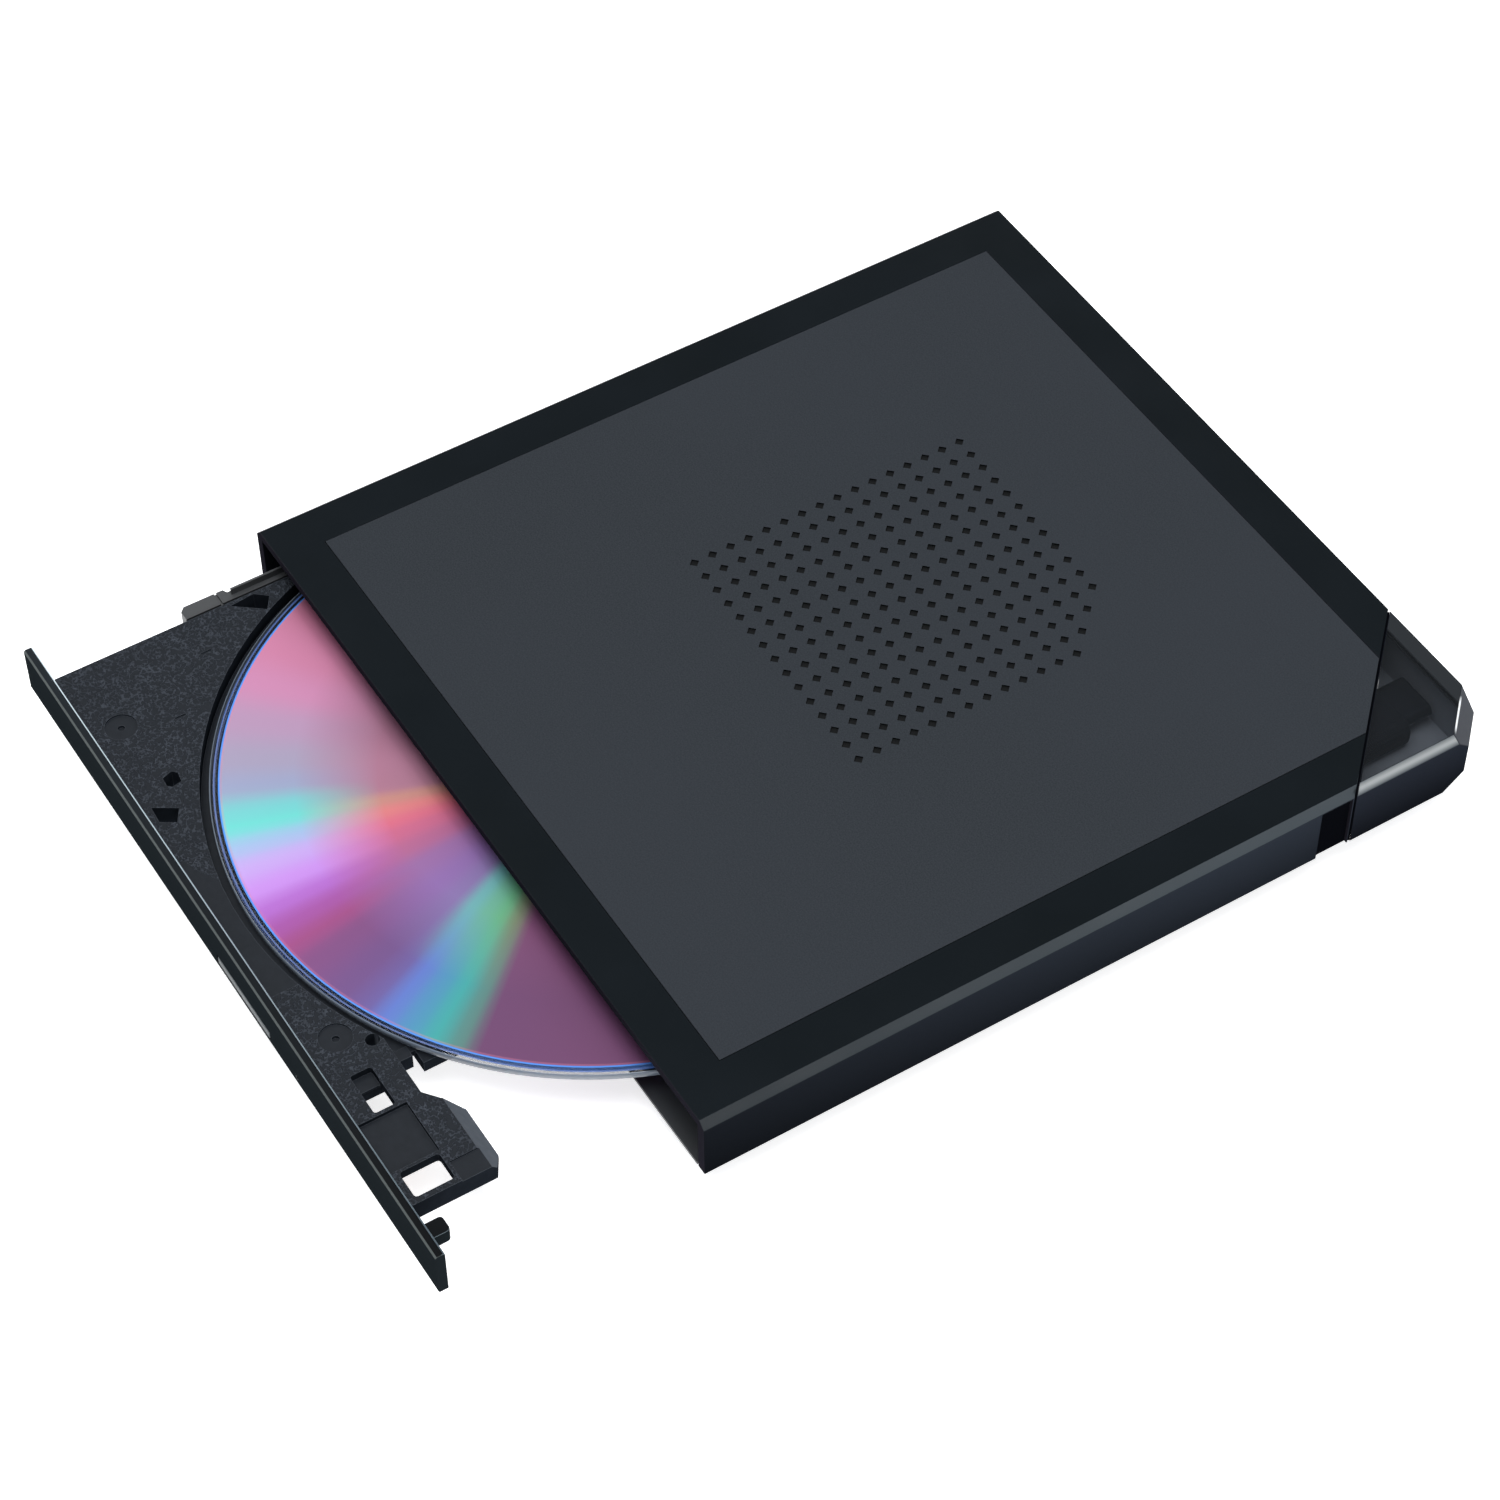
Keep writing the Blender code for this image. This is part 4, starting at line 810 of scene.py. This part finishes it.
def detailed_disc():
    """Clear plastic all through, with the mirror layer inside it short of both edges."""
    centre = (DISC_CENTRE.x, DISC_CENTRE.y)
    low, high = DISC_LOW.z, DISC_HIGH.z
    data_edge = DISC_RADIUS - DATA_EDGE
    clear = disc_clear()
    inside = data_edge + LAYER_GAP
    chamfer = DISC_RADIUS - RIM_CHAMFER
    rim = [(inside, low), (chamfer, low), (DISC_RADIUS, low + RIM_CHAMFER),
           (DISC_RADIUS, high - RIM_CHAMFER), (chamfer, high), (inside, high)]
    smooth(add_piece("disc_clear_rim", ring(rim, centre, RIM_STEPS), clear, "spindle"), 50)
    outside = DATA_START - LAYER_GAP
    groove = [(STACK_GROOVE + GROOVE_TOP, high), (STACK_GROOVE + GROOVE_BOTTOM, high - GROOVE_DEPTH),
              (STACK_GROOVE - GROOVE_BOTTOM, high - GROOVE_DEPTH), (STACK_GROOVE - GROOVE_TOP, high)]
    middle = [(HUB_HOLE, low), (outside, low), (outside, high), *groove, (HUB_HOLE, high)]
    smooth(add_piece("disc_clear_middle", ring(middle, centre, MIDDLE_STEPS), clear, "spindle"), 30)
    layer = [(DATA_START, low), (data_edge, low), (data_edge, high), (DATA_START, high)]
    film = add_piece("disc_data_layer", ring(layer, centre, RIM_STEPS), disc_rainbow(), "spindle")
    smooth(film, 30)
    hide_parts("disc")


def place_in_case(outline):
    """From the closed drive's frame, with y = 0 on the front face, to this one."""
    return [(x, y + CASE_LOW.y) for x, y in outline]


def seam_shade_strip(material):
    """A thin dark frame that fills the seam between the case and its corner cap: painted shade inside
    the seam.
    """
    rear = CASE_HIGH.y - CASE_LOW.y - SEAM_DEPTH
    left = SEAM_LINE - rear
    right = CASE_HIGH.x - SEAM_DEPTH
    low = CASE_LOW.z + SEAM_DEPTH
    high = CASE_HIGH.z - 2 * SEAM_DEPTH
    outer = [(left, low), (right, low), (right, high), (left, high)]
    left += SEAM_BAR
    right -= SEAM_BAR
    high -= SEAM_BAR
    inner = [(left, BAY_FLOOR), (right, BAY_FLOOR), (right, high), (left, high)]
    shape = bmesh.new()
    layers = []
    for side in (-1, 1):
        shift = side * SEAM_STRIP / 2 / math.sqrt(2)
        front = SEAM_LINE + shift + CASE_LOW.y
        for loop in (outer, inner):
            layers.append([shape.verts.new((x + shift, front - x, z)) for x, z in loop])
    outer_low, inner_low, outer_high, inner_high = layers
    sides = [(outer_low, inner_low), (inner_low, inner_high),
             (inner_high, outer_high), (outer_high, outer_low)]
    for index in range(len(outer)):
        after = (index + 1) % len(outer)
        for here, there in sides:
            shape.faces.new((here[index], here[after], there[after], there[index]))
    add_piece("seam_shade_strip", shape, material, "case")


def bay_light_sheets():
    """A pale sheet over the floor and walls of the cable bay: painted light for the inside of the bay
    that shows through the smoked cap.
    """
    grey = lit_bay_grey()
    line = SEAM_LINE + 0.45
    corner = CAP_CORNER - 3.2
    right = CASE_HIGH.x - CAP_WALL - LIGHT_SHEET_GAP
    rear = CASE_HIGH.y - CASE_LOW.y - CAP_WALL - LIGHT_SHEET_GAP
    thick = LIGHT_SHEET_THICKNESS
    outer = [(line - rear, rear), (corner - rear, rear), (right, corner - right), (right, line - right)]
    floor = prism(place_in_case(outer), BAY_FLOOR + 0.05, BAY_FLOOR + 0.3)
    add_piece("bay_floor_light_sheet", floor, grey, "case")
    inner_corner = corner - thick * math.sqrt(2)
    inner = [(right - thick, line - right), (right - thick, inner_corner - right + thick),
             (inner_corner - rear + thick, rear - thick), (line - rear, rear - thick)]
    walls = prism(place_in_case(outer + inner), BAY_FLOOR + 0.35, CASE_HIGH.z - CAP_WALL - 0.08)
    add_piece("bay_wall_light_sheet", walls, grey, "case")


def notch_shade_block(material):
    """A dark block at the back of the finger notch in the right wall: painted shade for the recess."""
    inner, outer = CASE_HIGH.x - NOTCH_IN, CASE_HIGH.x - NOTCH_OUT
    front, rear = NOTCH_FRONT + NOTCH_GAP, NOTCH_REAR - NOTCH_GAP
    outline = place_in_case([(inner, front), (outer, front), (outer, rear), (inner, rear)])
    shape = prism(outline, CASE_LOW.z + NOTCH_GAP, NOTCH_TOP - NOTCH_GAP)
    add_piece("notch_shade_block", shape, material, "case")


def make_pieces():
    softened("upper_case", gloss_case(), CASE_EDGE, 3)
    dimpled_panel()
    softened("corner_cap", smoked_cap(), CAP_EDGE, 3)
    dark = shadow_black()
    seam_shade_strip(dark)
    notch_shade_block(dark)
    bay_light_sheets()
    softened("bezel", bezel_black(), BEZEL_EDGE)
    softened("tray", tray_grain(), TRAY_EDGE)
    softened("lower_case", moulded("base_plastic", srgb(38, 41, 45), 0.55), BASE_EDGE)
    detailed_disc()


def dress_nodes():
    """The nodes that keep their CAD shape get their finishes by slot, and one of them by name."""
    by_slot = {
        "sheet_steel": sheet_metal("zinc_sheet", srgb(176, 178, 180), 0.36),
        "bright_steel": sheet_metal("turned_steel", srgb(196, 197, 199), 0.2, (1, 1, 12)),
        "white_plastic": moulded("white_acetal", srgb(205, 203, 196), 0.42),
        "grey_plastic": moulded("grey_satin", srgb(84, 90, 92), 0.4, edge=srgb(120, 124, 126),
                                Specular_IOR_Level=0.1),
        "rubber": moulded("soft_rubber", srgb(20, 25, 34), 0.72, 0.25, 0.03, Specular_IOR_Level=0.1),
        "board_green": board(),
        "chip_black": moulded("chip_epoxy", srgb(26, 26, 28), 0.5, 0.15, 0.03),
        "copper": windings(),
        "amber_film": ribbon_film(),
        "lens_glass": lens_clear(),
        "tray_plastic": moulded("runner_plastic", srgb(60, 62, 64), 0.45),
    }
    slots = {entry["node"]: entry["material_slot"] for entry in frame["record"]["subparts"]}
    by_node = {"plug_shell": sheet_metal("dark_shell", srgb(44, 50, 60), 0.45)}
    for name, node in frame["nodes"].items():
        material = by_node.get(name) or by_slot.get(slots[name])
        if material:
            node.data.materials.clear()
            node.data.materials.append(material)


add_camera()
add_studio()
make_pieces()
dress_nodes()
